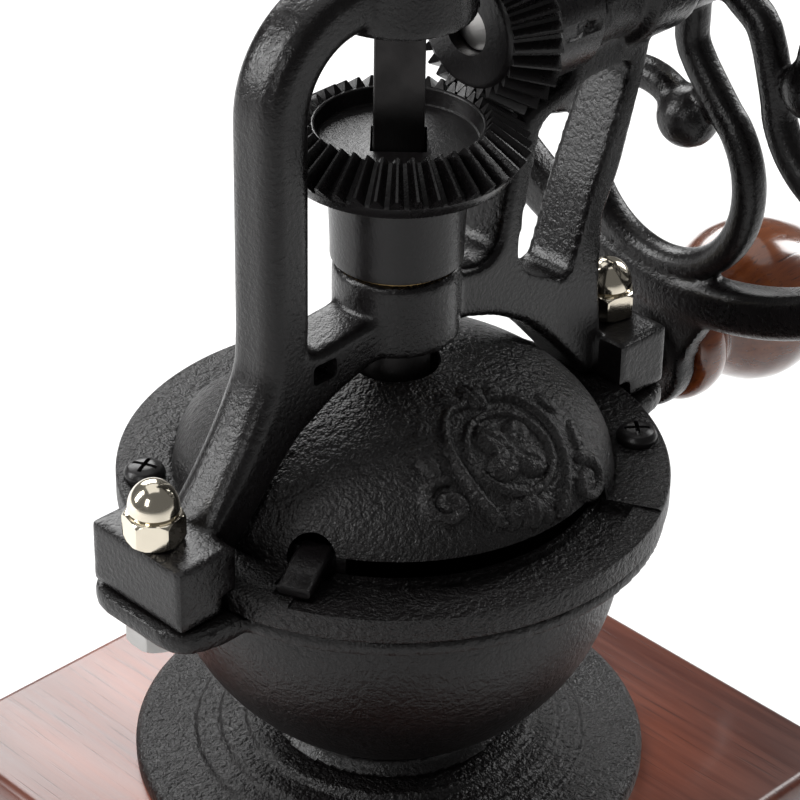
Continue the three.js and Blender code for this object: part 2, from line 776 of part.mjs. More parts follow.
function buildGrinding() {
  add("outer_burr", outerBurr(), "steel");
  add("inner_burr", innerBurr(), "steel");
  add("spindle", spindle(), "black");
  const boltHole = burr.boltRadius + clearance.seat;
  const nutTop = burrLow - clearance.seat;
  add("burr_nut", nut(13, boltHole, nutTop - burr.nutHeight, nutTop), "steel");
  const seat = lidTop + frameSize.upperBossHigh + clearance.seat;
  const threadHole = spindleSize.thread + clearance.seat;
  add("adjusting_nut", thumbWheel(11.5, threadHole, seat, seat + 6.5, 12), "black");
  add("lock_nut", nut(13, threadHole, seat + 6.6, seat + 11.6), "nickel");
}

// ---------------------------------------------------------------- bevel gears

const pitchAngle = Math.atan2(gears.lowerTeeth, gears.upperTeeth); // of the lower gear
const coneDistance = (gears.module * Math.hypot(gears.lowerTeeth, gears.upperTeeth)) / 2;

/** A point on a gear whose apex is the origin and whose cone opens along +Z: distance along the pitch cone
 * as a share of the full one, and height over the pitch cone in modules. Gives radius and height. */
function onCone(angle, share, height) {
  const along = coneDistance * share;
  const over = height * gears.module * share;
  return [
    along * Math.sin(angle) + over * Math.cos(angle),
    along * Math.cos(angle) - over * Math.sin(angle),
  ];
}

/** The corners of one tooth's section at a share of the cone distance, as [radius, sideways, height]. */
function toothSection(angle, share) {
  const halfAtPitch = (gears.toothShare * Math.PI) / 2; // in modules
  const slope = Math.tan(rad(gears.flank));
  const [root, tip] = [-gears.dedendum, 1].map((height) => {
    const [r, z] = onCone(angle, share, height);
    return [r, (halfAtPitch - slope * height) * gears.module * share, z];
  });
  return [[root, -1], [tip, -1], [tip, 1], [root, 1]].map(([[r, half, z], side]) => [r, half * side, z]);
}

/** The toothed part of a gear, from its inner to its outer end. */
function toothSections(angle) {
  return [1 - gears.faceShare, 1].map((share) => toothSection(angle, share));
}

/** The root of a gear's teeth at both ends, as [radius, height]. */
function rootEnds(angle) {
  return [1 - gears.faceShare, 1].map((share) => onCone(angle, share, -gears.dedendum));
}

/** A gear blank about Z: sections joined in order, each with one corner a tooth or with four.
 * The first and the last section lie on the axis. */
function toothed(count, firstAt, sections) {
  const points = [];
  const rings = sections.map((section) => {
    const onAxis = section[0][0] === 0;
    const ring = { start: points.length, size: section.length, onAxis };
    for (let tooth = 0; tooth < (onAxis ? 1 : count); tooth++) {
      const turn = rad(firstAt + (360 / count) * tooth);
      const [c, s] = [Math.cos(turn), Math.sin(turn)];
      section.forEach(([r, y, z]) => points.push([r * c - y * s, r * s + y * c, z]));
    }
    return ring;
  });
  const at = ({ start, size, onAxis }, tooth, corner) =>
    start + (onAxis ? 0 : (tooth % count) * size + Math.min(corner, size - 1));
  const triangles = [];
  for (let i = 1; i < rings.length; i++) {
    const [a, b] = [rings[i - 1], rings[i]];
    for (let step = 0; step < 4 * count; step++) {
      const [here, next] = [step, step + 1].map((n) => [Math.floor(n / 4), n % 4]);
      const [p, q, r, s] = [at(a, ...here), at(a, ...next), at(b, ...next), at(b, ...here)];
      triangles.push([p, q, r], [p, r, s]);
    }
  }
  const whole = triangles.filter(([p, q, r]) => p !== q && q !== r && r !== p);
  return meshOf(whole.flat().flatMap((index) => points[index]));
}

/** A triangle soup from its coordinates in order. */
function meshOf(coordinates) {
  const geometry = new THREE.BufferGeometry();
  geometry.setAttribute("position", new THREE.Float32BufferAttribute(coordinates, 3));
  return geometry;
}

/** A section of a gear blank where it has no teeth. */
const plain = ([r, z]) => [[r, 0, z]];

function lowerGear() {
  const { lowerTeeth, hubTopRadius, hubBottomRadius, recess, rimDepth } = gears;
  const [inner, outer] = rootEnds(pitchAngle);
  const foot = axisZ - (lidTop + frameSize.lowerBossHigh + gears.washer + 2 * clearance.seat);
  const floor = inner[1] + recess;
  const rimBack = outer[1] + rimDepth;
  const front = [[0, floor], [inner[0] - 0.9, floor], [inner[0] - 0.5, inner[1] + 0.4]];
  const back = [
    [outer[0] - 0.5, outer[1] + 0.4], [outer[0] - 1.6, rimBack], [hubTopRadius, rimBack + 0.7],
    [hubTopRadius - 1, rimBack + 2.2], [hubBottomRadius, foot], [0, foot],
  ];
  const sections = [...front.map(plain), ...toothSections(pitchAngle), ...back.map(plain)];
  const half = spindleSize.square / 2 + clearance.slide;
  const bore = block([-half, half], [-half, half], [0, foot + 1]).rotateZ(-rad(spindleSize.yaw));
  const placed = geometryOf(cut(solid(toothed(lowerTeeth, 0, sections)), [solid(bore)]));
  return placed.rotateX(Math.PI).translate(0, 0, axisZ);
}

function upperGear() {
  const { upperTeeth, upperHub, upperHubEnd } = gears;
  const angle = Math.PI / 2 - pitchAngle;
  const [inner, outer] = rootEnds(angle);
  const front = inner[1] - 0.5;
  const back = [
    [outer[0] - 1.2, outer[1] + 1.6], [upperHub, outer[1] + 2.2], [upperHub, upperHubEnd - 0.8],
    [upperHub - 0.8, upperHubEnd], [0, upperHubEnd],
  ];
  const sections = [
    ...[[0, front], [inner[0] - 0.5, front]].map(plain), ...toothSections(angle), ...back.map(plain),
  ];
  // a gap faces the lower gear's tooth where the two mesh
  const blank = solid(toothed(upperTeeth, 180 / upperTeeth, sections));
  const bore = rod(shaftSize.radius + clearance.seat, shaftSize.from - 0.2, upperHubEnd + 1, facets.middle);
  const sight = rod(1.3, front - 1, front + 2.5, 12).translate(...onCircle(6.4, 200));
  const pin = crossHole(gears.pinRadius + clearance.seat, gears.pinAt);
  return alongShaft(geometryOf(cut(blank, [solid(bore), solid(sight), pin])));
}

/** A hole right across the shaft's axis, at a distance along it, in the shaft's own upright frame. */
function crossHole(radius, at) {
  return solid(rod(radius, -30, 30, facets.tiny).rotateX(Math.PI / 2).translate(0, 0, at));
}

function driveShaft() {
  const { radius, threadRadius, from, to } = shaftSize;
  const shoulder = wheel.hubTo - 0.5;
  const shaft = turned(
    [[0, from], [radius - 0.6, from], [radius, from + 0.6], [radius, shoulder], [threadRadius, shoulder],
      [threadRadius, to - 0.8], [threadRadius - 0.8, to], [0, to]],
    facets.middle,
  );
  const drilled = cut(solid(shaft), [crossHole(gears.pinRadius + clearance.seat, gears.pinAt)]);
  return alongShaft(geometryOf(drilled));
}

function buildDrive() {
  add("lower_gear", lowerGear(), "satin");
  add("upper_gear", upperGear(), "satin");
  add("drive_shaft", driveShaft(), "steel");
  const pinReach = gears.upperHub - 0.3;
  const pin = rod(gears.pinRadius, -pinReach, pinReach, facets.tiny).rotateX(Math.PI / 2);
  add("gear_pin", alongShaft(pin.translate(0, 0, gears.pinAt)), "steel");
}

// ---------------------------------------------------------------- frame

const fromLid = ([x, z]) => [x, z + lidTop];

/** The bent post on the left, from its foot at the clamp block over the top to the upper boss. */
function post() {
  const { postX, postWidth, blockTop, archRadius, archTop, blockInner } = frameSize;
  const half = postWidth / 2;
  const bend = archTop - archRadius;
  const line = [
    [-blockInner + 4.3, blockTop], [postX - 2.4, 27], [postX - 0.4, 34], [postX, 41], [postX, bend],
    ...arc(postX + archRadius, bend, archRadius, 180, 90, 6).slice(1),
    [0, archTop + 3],
  ];
  const widths = line.map((_, i) => (i < 2 ? half - 0.6 : half));
  return upright(stroke(line, widths).map(fromLid), frameSize.depth, frameSize.postRound, 1);
}

/** The arch over the upper gear, from the upper boss to the bearing. */
function rightArch() {
  const { gearArchTop, housingFrom, gearArchWidth } = frameSize;
  const line = [
    [0, gearArchTop - 4], [14, gearArchTop], [30, gearArchTop], [43, gearArchTop - 7],
    [housingFrom + 1, gearArchTop - 17],
  ];
  const widths = line.map(() => gearArchWidth / 2);
  return upright(stroke(line, widths).map(fromLid), frameSize.depth, frameSize.postRound, 1);
}

/** The two lower arms, from the lower boss down to the clamp blocks, and the openwork leg on the right. */
function lowerWeb() {
  const { blockInner, postX, postWidth, lowerBossLow, legOut, edge, depth } = frameSize;
  const inPost = postX + postWidth / 2;
  const foot = blockInner + 1.2;
  const left = [
    [0, lowerBossLow], [0, 37], [-10, 37], [inPost + 0.8, 35.4], [inPost - 3, 37], [postX - 2, 36],
    [postX - 4, 28],
    [-foot, 8.4], [-foot, 1], [-47, 1], [-42, 5.7], [-36, 13.2], [-29.8, 19.7], [-19.9, 25], [-9.8, 28],
  ];
  const right = [
    [0, 28.1], [12.3, 28.1], [21.9, 24.8], [30.4, 19.8], [37.9, 12.4], [45.6, 3.5], [47.6, 1], [foot, 1],
    [foot, 9],
    [blockInner, 20], [50.6, 36.5], [54.8, 44.8], [61, 66], [legOut, 78], [41.5, 78], [39.6, 68.6], [28, 66],
    [25.5, 59], [21.5, 39.5], [17, 37.5], [11, 39], [0, 39],
  ];
  const window = [[27.1, 41.9], [26.9, 35.1], [29.8, 31.1], [41.3, 25.6], [47.2, 43.1], [56.4, 65.4],
    [55, 68],
    [45, 68], [31.5, 62.5]];
  const bars = [[left, []], [right, [window.map(fromLid)]]];
  return bars.map(([outline, holes]) => solid(upright(outline.map(fromLid), depth, edge, 1, holes)));
}

/** The clamp block on one side: its outer part reaches down past the lid's flange to the bowl's ear. */
function clampBlock(side) {
  const { blockInner, blockOuter, blockStep, blockHalfWidth } = frameSize;
  const range = (a, b) => [side * a, side * b].sort((p, q) => p - q);
  const y = [-blockHalfWidth, blockHalfWidth];
  const upper = board(range(blockInner, blockOuter), y, [blockBase, blockTopZ], frameSize.edge);
  const lower = block(range(blockStep, blockOuter), y, [earTop + clearance.seat, blockBase + 3]);
  return union([solid(upper), solid(lower)]);
}

function frameBody() {
  const f = frameSize;
  const boss = (radius, low, high) => {
    return solid(chamferedRod(radius, lidTop + low, lidTop + high, 0.8, facets.middle));
  };
  const bearing = turned(
    [[0, f.bearingFrom], [f.bearingRadius - 0.8, f.bearingFrom], [f.bearingRadius, f.bearingFrom + 0.8],
      [f.bearingRadius, f.housingFrom], [f.housingRadius, f.housingFrom + 0.8],
      [f.housingRadius, f.housingTo - 0.8],
      [f.housingRadius - 0.8, f.housingTo], [0, f.housingTo]],
    facets.middle,
  );
  const body = union([
    solid(post()), solid(rightArch()), ...lowerWeb(), clampBlock(-1), clampBlock(1),
    boss(f.lowerBossRadius, f.lowerBossLow, f.lowerBossHigh),
    boss(f.upperBossRadius, f.upperBossLow, f.upperBossHigh), solid(alongShaft(bearing)),
  ]);
  const bushHole = (radius, low, high) => {
    return solid(rod(radius + clearance.seat, lidTop + low - 1, lidTop + high + 1, facets.middle));
  };
  const drive = rod(bushes.drive.outer + clearance.seat, f.bearingFrom - 2, f.housingTo + 2, facets.middle);
  const boltHoles = [-1, 1].map((side) => {
    const hole = rod(clamp.boltRadius + clearance.bolt, earTop - 2, blockTopZ + 2, facets.small);
    return solid(hole.translate(side * f.nutX, 0, 0));
  });
  const sight = block([-26.4, -20.6], [-f.depth, f.depth], [lidTop + 29.4, lidTop + 33.4]);
  return cut(body, [
    solid(sight), bushHole(bushes.lower.outer, f.lowerBossLow, f.lowerBossHigh),
    bushHole(bushes.upper.outer, f.upperBossLow, f.upperBossHigh), solid(alongShaft(drive)), ...boltHoles,
  ]);
}

function capNut(side) {
  const { flats, hexHeight, height, domeRadius, boltRadius } = clamp;
  const low = blockTopZ + clearance.seat;
  const bore = boltRadius + clearance.seat;
  const collar = low + hexHeight;
  const domeBase = collar + 0.9;
  const rise = height - hexHeight - 0.9;
  const dome = Array.from({ length: 6 }, (_, i) => {
    const t = rad(18 * i);
    return [domeRadius * Math.cos(t), domeBase + rise * Math.sin(t)];
  });
  dome[5][0] = 0;
  const corner = flats / Math.sqrt(3);
  const base = turned(
    [[0, low], [flats / 2, low], [corner, low + 0.7], [corner, collar - 0.7], [flats / 2, collar],
      [0, collar]],
    facets.small,
  );
  const hex = solid(base).intersect(solid(slab(hexagon(flats), low - 1, collar + 1)));
  const top = solid(turned([[0, collar - 0.5], [domeRadius, collar - 0.5], ...dome], facets.small));
  const hole = solid(rod(bore, low - 1, low + clamp.boltIn + 0.4, facets.small));
  return geometryOf(cut(union([hex, top]), [hole])).translate(side * frameSize.nutX, 0, 0);
}

function clampBolt(side) {
  const under = earTop - bowl.earThick - clearance.seat;
  const tip = blockTopZ + clearance.seat + clamp.boltIn;
  const head = nut(clamp.flats, 0.001, under - clamp.headHeight, under);
  const r = clamp.boltRadius;
  const shank = solid(rod(r, under - 0.5 * clamp.headHeight, tip, facets.small));
  return geometryOf(union([head, shank])).translate(side * frameSize.nutX, 0, 0);
}

function buildFrame() {
  add("frame", frameBody(), "cast");
  const { lower, upper, drive } = bushes;
  const f = frameSize;
  const spindleBush = (size, low, high) => tube(size.outer, size.inner, lidTop + low, lidTop + high);
  add("lower_bush", spindleBush(lower, f.lowerBossLow, f.lowerBossHigh - 0.3), "bronze");
  add("upper_bush", spindleBush(upper, f.upperBossLow + 0.3, f.upperBossHigh - 0.3), "bronze");
  const driveBush = tube(drive.outer, drive.inner, f.bearingFrom + 0.3, f.housingTo - 0.3);
  add("drive_bush", alongShaft(driveBush), "bronze");
  const washerLow = lidTop + f.lowerBossHigh + clearance.seat;
  add("thrust_washer", tube(11, lower.inner, washerLow, washerLow + gears.washer), "bronze");
  for (const [name, side] of [["left", -1], ["right", 1]]) {
    add("cap_nut_" + name, capNut(side), "nickel");
    add("clamp_bolt_" + name, clampBolt(side), "steel");
  }
}

// ---------------------------------------------------------------- flywheel and crank handle

/** A point in the wheel's plane, from its distance to the axis and its angle from +Y towards +Z.
 * The wheel is built lying flat, with x towards world -Z and y towards world +Y. */
const inWheel = (radius, angle) => [-radius * Math.sin(rad(angle)), radius * Math.cos(rad(angle))];

/** One C-scroll: a spoke from the hub that rings round a space and curls in to a ball. */
function scroll(pairAngle, side) {
  const middle = pairAngle + side * wheel.scrollAngle;
  const [cx, cy] = inWheel(wheel.scrollCentre, middle);
  // the ring's angles start towards the hub and turn towards the middle of the pair
  const ringPoint = (turn, radius) => {
    const away = rad(turn);
    const out = wheel.scrollCentre - radius * Math.cos(away);
    const across = radius * Math.sin(away);
    const angle = middle - side * THREE.MathUtils.radToDeg(Math.atan2(across, out));
    return inWheel(Math.hypot(out, across), angle);
  };
  const half = wheel.scrollWidth / 2;
  const startAngle = middle - side * 7;
  const spoke = [inWheel(wheel.hubRadius - 3, startAngle), inWheel(23, startAngle - side * 1)];
  const ring = Array.from({ length: 13 }, (_, i) => ringPoint(34 + 24 * i, wheel.scrollRadius));
  const line = [...spoke, ...ring];
  const curlTurns = [308, 326, 343, 360, 378];
  const curl = curlTurns.map((turn, i) => ringPoint(turn, wheel.scrollRadius - [0, 2, 4, 6.4, 8.7][i]));
  const arms = [line, curl].map((points) => {
    const outline = stroke(points, points.map(() => half));
    return solid(slab(outline, wheel.planeX - wheel.scrollDepth / 2, wheel.planeX + wheel.scrollDepth / 2));
  });
  const [bx, by] = curl[4];
  const ball = new THREE.SphereGeometry(wheel.ballRadius, 8, 6).translate(bx, by, wheel.planeX);
  return { arms, ball: solid(ball), centre: [cx, cy] };
}

function flywheel() {
  const w = wheel;
  const [low, high] = [w.planeX - w.rimDepth / 2, w.planeX + w.rimDepth / 2];
  const inner = w.outerRadius - w.rimWidth;
  const round = 2.6;
  const rim = turned(
    [[inner, low + round], [inner + round, low], [w.outerRadius - round, low], [w.outerRadius, low + round],
      [w.outerRadius, high - round], [w.outerRadius - round, high], [inner + round, high],
      [inner, high - round]],
    facets.rim,
  );
  const hub = chamferedRod(w.hubRadius, w.hubFrom, w.hubTo, 1, facets.middle);
  const pairs = Array.from({ length: w.scrollPairs }, (_, i) => w.pairAngle + (360 / w.scrollPairs) * i);
  const scrolls = pairs.flatMap((angle) => [scroll(angle, 1), scroll(angle, -1)]);
  const [lx, ly] = inWheel(w.lugCentre, w.lugAngle);
  const lug = chamferedRod(w.lugRadius, low, w.lugTop, 1, facets.middle).translate(lx, ly, 0);
  const web = [[w.outerRadius - 6, 16], [w.outerRadius - 6, -16], [w.lugCentre - 1, -w.lugRadius + 0.6],
    [w.lugCentre - 1, w.lugRadius - 0.6]];
  const fillet = slab(web.reverse(), low + 0.6, w.lugTop - 0.6).rotateZ(Math.atan2(ly, lx));
  const body = union([
    solid(rim), solid(hub), solid(lug), solid(fillet),
    ...scrolls.flatMap(({ arms, ball }) => [...arms, ball]),
  ]);
  const bore = rod(shaftSize.radius + clearance.seat, w.hubFrom - 1, w.hubTo + 1, facets.middle);
  const boltHole = rod(knobSize.bolt + clearance.seat, low - 1, high + 1, facets.small).translate(lx, ly, 0);
  return alongShaft(geometryOf(cut(body, [solid(bore), solid(boltHole)])));
}

/** Moves a piece built on the wheel's axis out to the handle's lug. */
function atLug(geometry) {
  const [lx, ly] = inWheel(wheel.lugCentre, wheel.lugAngle);
  return alongShaft(geometry.translate(lx, ly, 0));
}

function crankKnob() {
  const from = wheel.lugTop + clearance.swing;
  const to = from + knobSize.length;
  const bore = knobSize.bolt + clearance.turn;
  const sink = knobSize.headRadius + clearance.bolt;
  const R = knobSize.radius;
  const profile = [
    [bore, from], [11, from], [12.9, from + 1.6], [13.4, from + 4.8], [12.7, from + 8], [9.6, from + 10],
    [9, from + 12], [10.6, from + 15], [R - 3, from + 20], [R - 0.6, from + 25], [R, from + 29],
    [R - 1.2, from + 34], [R - 4, from + 39.5], [R - 6.5, from + 44], [R - 8, from + 47.5],
    [R - 8.6, to - 1.6], [R - 9.6, to], [sink, to],
    [sink, to - knobSize.headHeight - 0.6], [bore, to - knobSize.headHeight - 0.6],
  ];
  return atLug(turned(profile, facets.middle));
}

function handleBolt() {
  const lugLow = wheel.planeX - wheel.rimDepth / 2;
  const from = lugLow - clearance.seat - knobSize.nutHeight - 1;
  const to = wheel.lugTop + clearance.swing + knobSize.length - 0.3;
  const { bolt, headRadius, headHeight } = knobSize;
  const shank = turned(
    [[0, from], [bolt - 0.5, from], [bolt, from + 0.5], [bolt, to - headHeight],
      [headRadius, to - headHeight],
      [headRadius, to - 1], [headRadius - 1, to], [0, to]],
    facets.small,
  );
  const slot = block([-knobSize.headRadius - 1, knobSize.headRadius + 1], [-0.6, 0.6], [to - 1.2, to + 1]);
  return atLug(geometryOf(cut(solid(shank), [solid(slot)])));
}

function buildWheel() {
  add("flywheel", flywheel(), "cast");
  const face = wheel.hubTo + clearance.seat;
  const hole = shaftSize.threadRadius + clearance.seat;
  add("wheel_washer", alongShaft(tube(9, hole, face, face + 1.5, facets.middle)), "steel");
  add("wheel_nut", alongShaft(geometryOf(nut(13, hole, face + 1.6, face + 8.1))), "nickel");
  add("handle_bolt", handleBolt(), "steel");
  const lugLow = wheel.planeX - wheel.rimDepth / 2 - clearance.seat;
  const handleNut = nut(10, knobSize.bolt + clearance.seat, lugLow - knobSize.nutHeight, lugLow);
  add("handle_nut", atLug(geometryOf(handleNut)), "steel");
  add("crank_knob", crankKnob(), "knob");
}

function buildBody() {
  add("base_plate", basePlate(), "cast");
  plateScrews.forEach((angle, i) => add("base_screw_" + (i + 1), plateScrew(angle), "steel"));
  add("bowl", bowlBody(), "cast");
  add("lid", lidBody(), "cast");
  add("lid_door", lidDoor(), "cast");
  lidScrewPlaces().forEach(([x, y], i) => {
    add("lid_screw_" + (i + 1), panScrew(x, y, rimTop - 4.5, lidTop + clearance.seat), "black");
  });
}

buildBox();
buildDrawer();
buildBody();
buildGrinding();
buildFrame();
buildDrive();
buildWheel();

export default grinder;
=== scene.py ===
# %% [markdown]
# # A hand crank coffee grinder
# The mill is a wooden box with a cast iron bowl, a domed lid and a yoke on top. A flywheel with a turned
# crank knob drives two bevel gears, and they turn the spindle of the burrs.
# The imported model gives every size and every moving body. Each cell below builds one piece or one finish
# around it, in millimetres, and the helpers turn those into Blender's metres.

# %% Load the frame
import json
import math

import bmesh
import bpy
import numpy as np
from mathutils import Matrix, Vector

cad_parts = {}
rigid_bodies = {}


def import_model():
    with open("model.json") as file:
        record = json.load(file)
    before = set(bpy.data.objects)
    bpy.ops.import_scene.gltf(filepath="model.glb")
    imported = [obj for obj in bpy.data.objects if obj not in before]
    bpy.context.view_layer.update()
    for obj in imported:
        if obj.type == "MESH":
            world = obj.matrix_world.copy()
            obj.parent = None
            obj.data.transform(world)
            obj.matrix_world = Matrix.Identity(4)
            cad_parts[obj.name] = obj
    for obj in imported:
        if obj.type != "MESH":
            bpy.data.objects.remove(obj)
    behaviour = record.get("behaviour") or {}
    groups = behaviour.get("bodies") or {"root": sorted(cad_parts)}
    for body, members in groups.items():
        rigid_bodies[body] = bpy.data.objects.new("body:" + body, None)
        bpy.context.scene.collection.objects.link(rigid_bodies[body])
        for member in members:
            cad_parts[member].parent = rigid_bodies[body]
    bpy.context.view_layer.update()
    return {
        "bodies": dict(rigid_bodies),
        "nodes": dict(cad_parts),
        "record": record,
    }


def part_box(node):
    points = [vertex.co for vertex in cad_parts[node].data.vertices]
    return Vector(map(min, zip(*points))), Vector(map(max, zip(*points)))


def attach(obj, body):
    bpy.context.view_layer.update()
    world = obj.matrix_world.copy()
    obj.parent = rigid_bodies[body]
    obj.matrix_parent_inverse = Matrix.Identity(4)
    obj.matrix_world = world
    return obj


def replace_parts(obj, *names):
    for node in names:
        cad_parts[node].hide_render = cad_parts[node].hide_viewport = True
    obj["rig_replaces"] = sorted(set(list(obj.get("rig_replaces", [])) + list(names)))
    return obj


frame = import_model()
MM = 0.001
X, Z = 0, 2  # places of the axes in a corner
AXIS_Z = 242.5  # height of the drive shaft
LID_TOP = 158.0  # height of the lid flange's top face
BOLT_X = 59.5  # of the clamp bolts, to each side
BOLT_HOLE = 3.35
PIN_X = 32  # of the pin through the upright gear and the shaft
WHEEL_X = 79.5  # middle of the flywheel's rim
TAB_TURN = 205  # degrees from +X to the door's tab with the window shut
SLOT_OF = {part["node"]: part["material_slot"] for part in frame["record"]["subparts"]}
BODY_OF = {node: body for body, nodes in frame["record"]["behaviour"]["bodies"].items() for node in nodes}
print("bodies:", sorted(frame["bodies"]), "nodes:", len(frame["nodes"]))


def box(node):
    """Lowest and highest corner of a node, in millimetres."""
    low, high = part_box(node)
    return np.array(low) / MM, np.array(high) / MM


def span(node, axis):
    """Lowest and highest place of a node along X or Z."""
    low, high = box(node)
    return low[axis], high[axis]


# %% [markdown]
# ## Shader maths
# A finish is mostly sums and products of noise patterns. Python can write those as expressions if a small
# class wraps a node's socket and adds a Math node for each operator. Colours are mixed with Mix nodes.


# %% Shader helpers
class Value:
    """A number that varies over a surface. Operators on it add Math nodes."""

    def __init__(self, finish, socket):
        self.finish = finish
        self.socket = socket

    def _math(self, operation, first, second):
        return self.finish.node("ShaderNodeMath", {"operation": operation}, {0: first, 1: second})["Value"]

    def __add__(self, other):
        return self._math("ADD", self, other)

    __radd__ = __add__

    def __sub__(self, other):
        return self._math("SUBTRACT", self, other)

    def __rsub__(self, other):
        return self._math("SUBTRACT", other, self)

    def __mul__(self, other):
        return self._math("MULTIPLY", self, other)

    __rmul__ = __mul__


class Outputs:
    """The outputs of a node, wrapped when they are looked up."""

    def __init__(self, finish, node):
        self.finish = finish
        self.node = node

    def __getitem__(self, name):
        return Value(self.finish, self.node.outputs[name])


class Finish:
    """A material under construction, with one method that adds any node."""

    def __init__(self, name):
        self.material = bpy.data.materials.new(name)
        self.material.use_nodes = True
        self.tree = self.material.node_tree
        self.shader = self.tree.nodes["Principled BSDF"]
        self.place = self.node("ShaderNodeTexCoord", {}, {})["Object"]

    def link(self, value, socket):
        if isinstance(value, Value):
            self.tree.links.new(value.socket, socket)
        else:
            socket.default_value = value

    def node(self, kind, settings, inputs):
        made = self.tree.nodes.new(kind)
        for key, value in settings.items():
            setattr(made, key, value)
        for key, value in inputs.items():
            self.link(value, made.inputs[key])
        return Outputs(self, made)

    def noise(self, scale, detail=2.0, stretch=(1, 1, 1), roughness=0.5):
        place = self.node("ShaderNodeMapping", {}, {"Vector": self.place, "Scale": stretch})["Vector"]
        inputs = {"Vector": place, "Scale": scale, "Detail": detail, "Roughness": roughness}
        return self.node("ShaderNodeTexNoise", {}, inputs)["Fac"]

    def between(self, value, low, high, to_low=0.0, to_high=1.0):
        inputs = {"Value": value, "From Min": low, "From Max": high, "To Min": to_low, "To Max": to_high}
        return self.node("ShaderNodeMapRange", {}, inputs)["Result"]

    def blend(self, share, first, second):
        made = self.tree.nodes.new("ShaderNodeMix")
        made.data_type = "RGBA"
        self.link(share, made.inputs[0])
        for colour, socket in ((first, made.inputs[6]), (second, made.inputs[7])):
            self.link((*colour, 1) if isinstance(colour, tuple) else colour, socket)
        return Value(self, made.outputs[2])

    def bump(self, height, distance_mm, strength=1.0):
        inputs = {"Height": height, "Distance": distance_mm * MM, "Strength": strength}
        return self.node("ShaderNodeBump", {}, inputs)["Normal"]

    def finish(self, **sockets):
        """Sets the shader's sockets, named with underscores, and gives the material."""
        for name, value in sockets.items():
            socket = self.shader.inputs[name.replace("_", " ")]
            self.link((*value, 1) if isinstance(value, tuple) and len(value) == 3 else value, socket)
        return self.material


print("shader helpers ready")

# %% [markdown]
# ## The finishes
# The castings carry a thin black enamel over sand-cast iron. The lid, bowl and base show a coarse pebbled
# skin, and the yoke, wheel and gears are smoother and more satin. A rough skin could be sculpted, but grains
# under a millimetre are cheaper and just as clear as bump from two noises of different size.


# %% Black enamels
def enamel(name, grain_mm, grain_height, roughness, tone, waves=0.05):
    """Black enamel: a grain of a given size, gentle waves under it, and worn brown-grey tips."""
    f = Finish(name)
    grain = f.noise(1000 / grain_mm, 3.0, roughness=0.55)
    fine = f.noise(2600 / grain_mm, 1.0)
    wave = f.noise(130, 2.0)
    blotch = f.noise(38, 3.0)
    tips = f.between(grain, 0.52, 0.72)
    base = f.blend(f.between(blotch, 0.35, 0.65), tone, tuple(c * 1.45 for c in tone))
    colour = f.blend(tips * 0.5, base, tuple(c * 2.3 + 0.004 for c in tone))
    rough = f.between(blotch, 0.3, 0.7, roughness - 0.06, roughness + 0.07) + (grain - 0.5) * 0.15
    normal = f.bump(grain * 0.75 + fine * 0.25 + wave * (waves / grain_height), grain_height)
    return f.finish(Base_Color=colour, Roughness=rough, Normal=normal, Specular_IOR_Level=0.36)


rough_enamel = enamel("rough_enamel", 1.25, 1.0, 0.38, (0.0036, 0.0029, 0.0030))
bowl_enamel = enamel("bowl_enamel", 1.3, 0.4, 0.36, (0.0036, 0.0029, 0.0030))
satin_enamel = enamel("satin_enamel", 1.0, 0.20, 0.28, (0.0038, 0.0031, 0.0033), 0.05)
gear_enamel = enamel("gear_enamel", 0.8, 0.09, 0.30, (0.0060, 0.0052, 0.0055), 0.02)
print("enamels:", rough_enamel.name, bowl_enamel.name, satin_enamel.name, gear_enamel.name)

# %% [markdown]
# Bright metal isn't one even grey either. The domed nuts are polished nickel with a warm tint and faint
# hairlines, the steel is machined, and the bushes are dull bronze with darker patches.


# %% Bright metals
def metal(name, colour, roughness, streak, spots=0.0, bump_mm=0.01):
    """Bare metal with hairlines and, if asked, darker patches of tarnish."""
    f = Finish(name)
    lines = f.noise(900, 2.0, stretch=streak)
    patch = f.between(f.noise(160, 4.0), 0.45, 0.75)
    dark = tuple(c * 0.45 for c in colour)
    shade = f.blend(patch * spots, colour, dark)
    rough = roughness + (lines - 0.5) * 0.12 + patch * (0.25 * spots)
    return f.finish(Base_Color=shade, Metallic=1.0, Roughness=rough, Normal=f.bump(lines, bump_mm))


nickel = metal("nickel", (0.80, 0.73, 0.60), 0.13, (1, 1, 6), 0.1, 0.006)
steel = metal("steel", (0.42, 0.41, 0.40), 0.3, (1, 1, 8), 0.25)
black_steel = metal("black_steel", (0.045, 0.043, 0.043), 0.38, (6, 6, 1), 0.5, 0.02)
bronze = metal("bronze", (0.50, 0.34, 0.15), 0.38, (2, 2, 6), 0.6, 0.02)
print("metals:", nickel.name, steel.name, black_steel.name, bronze.name)

# %% [markdown]
# The box is wood under a red-brown lacquer. Grain could be an image, but a noise stretched along the board
# gives fibres at any size. Thin dark pores lie on it, and a clear coat on top carries the gloss.


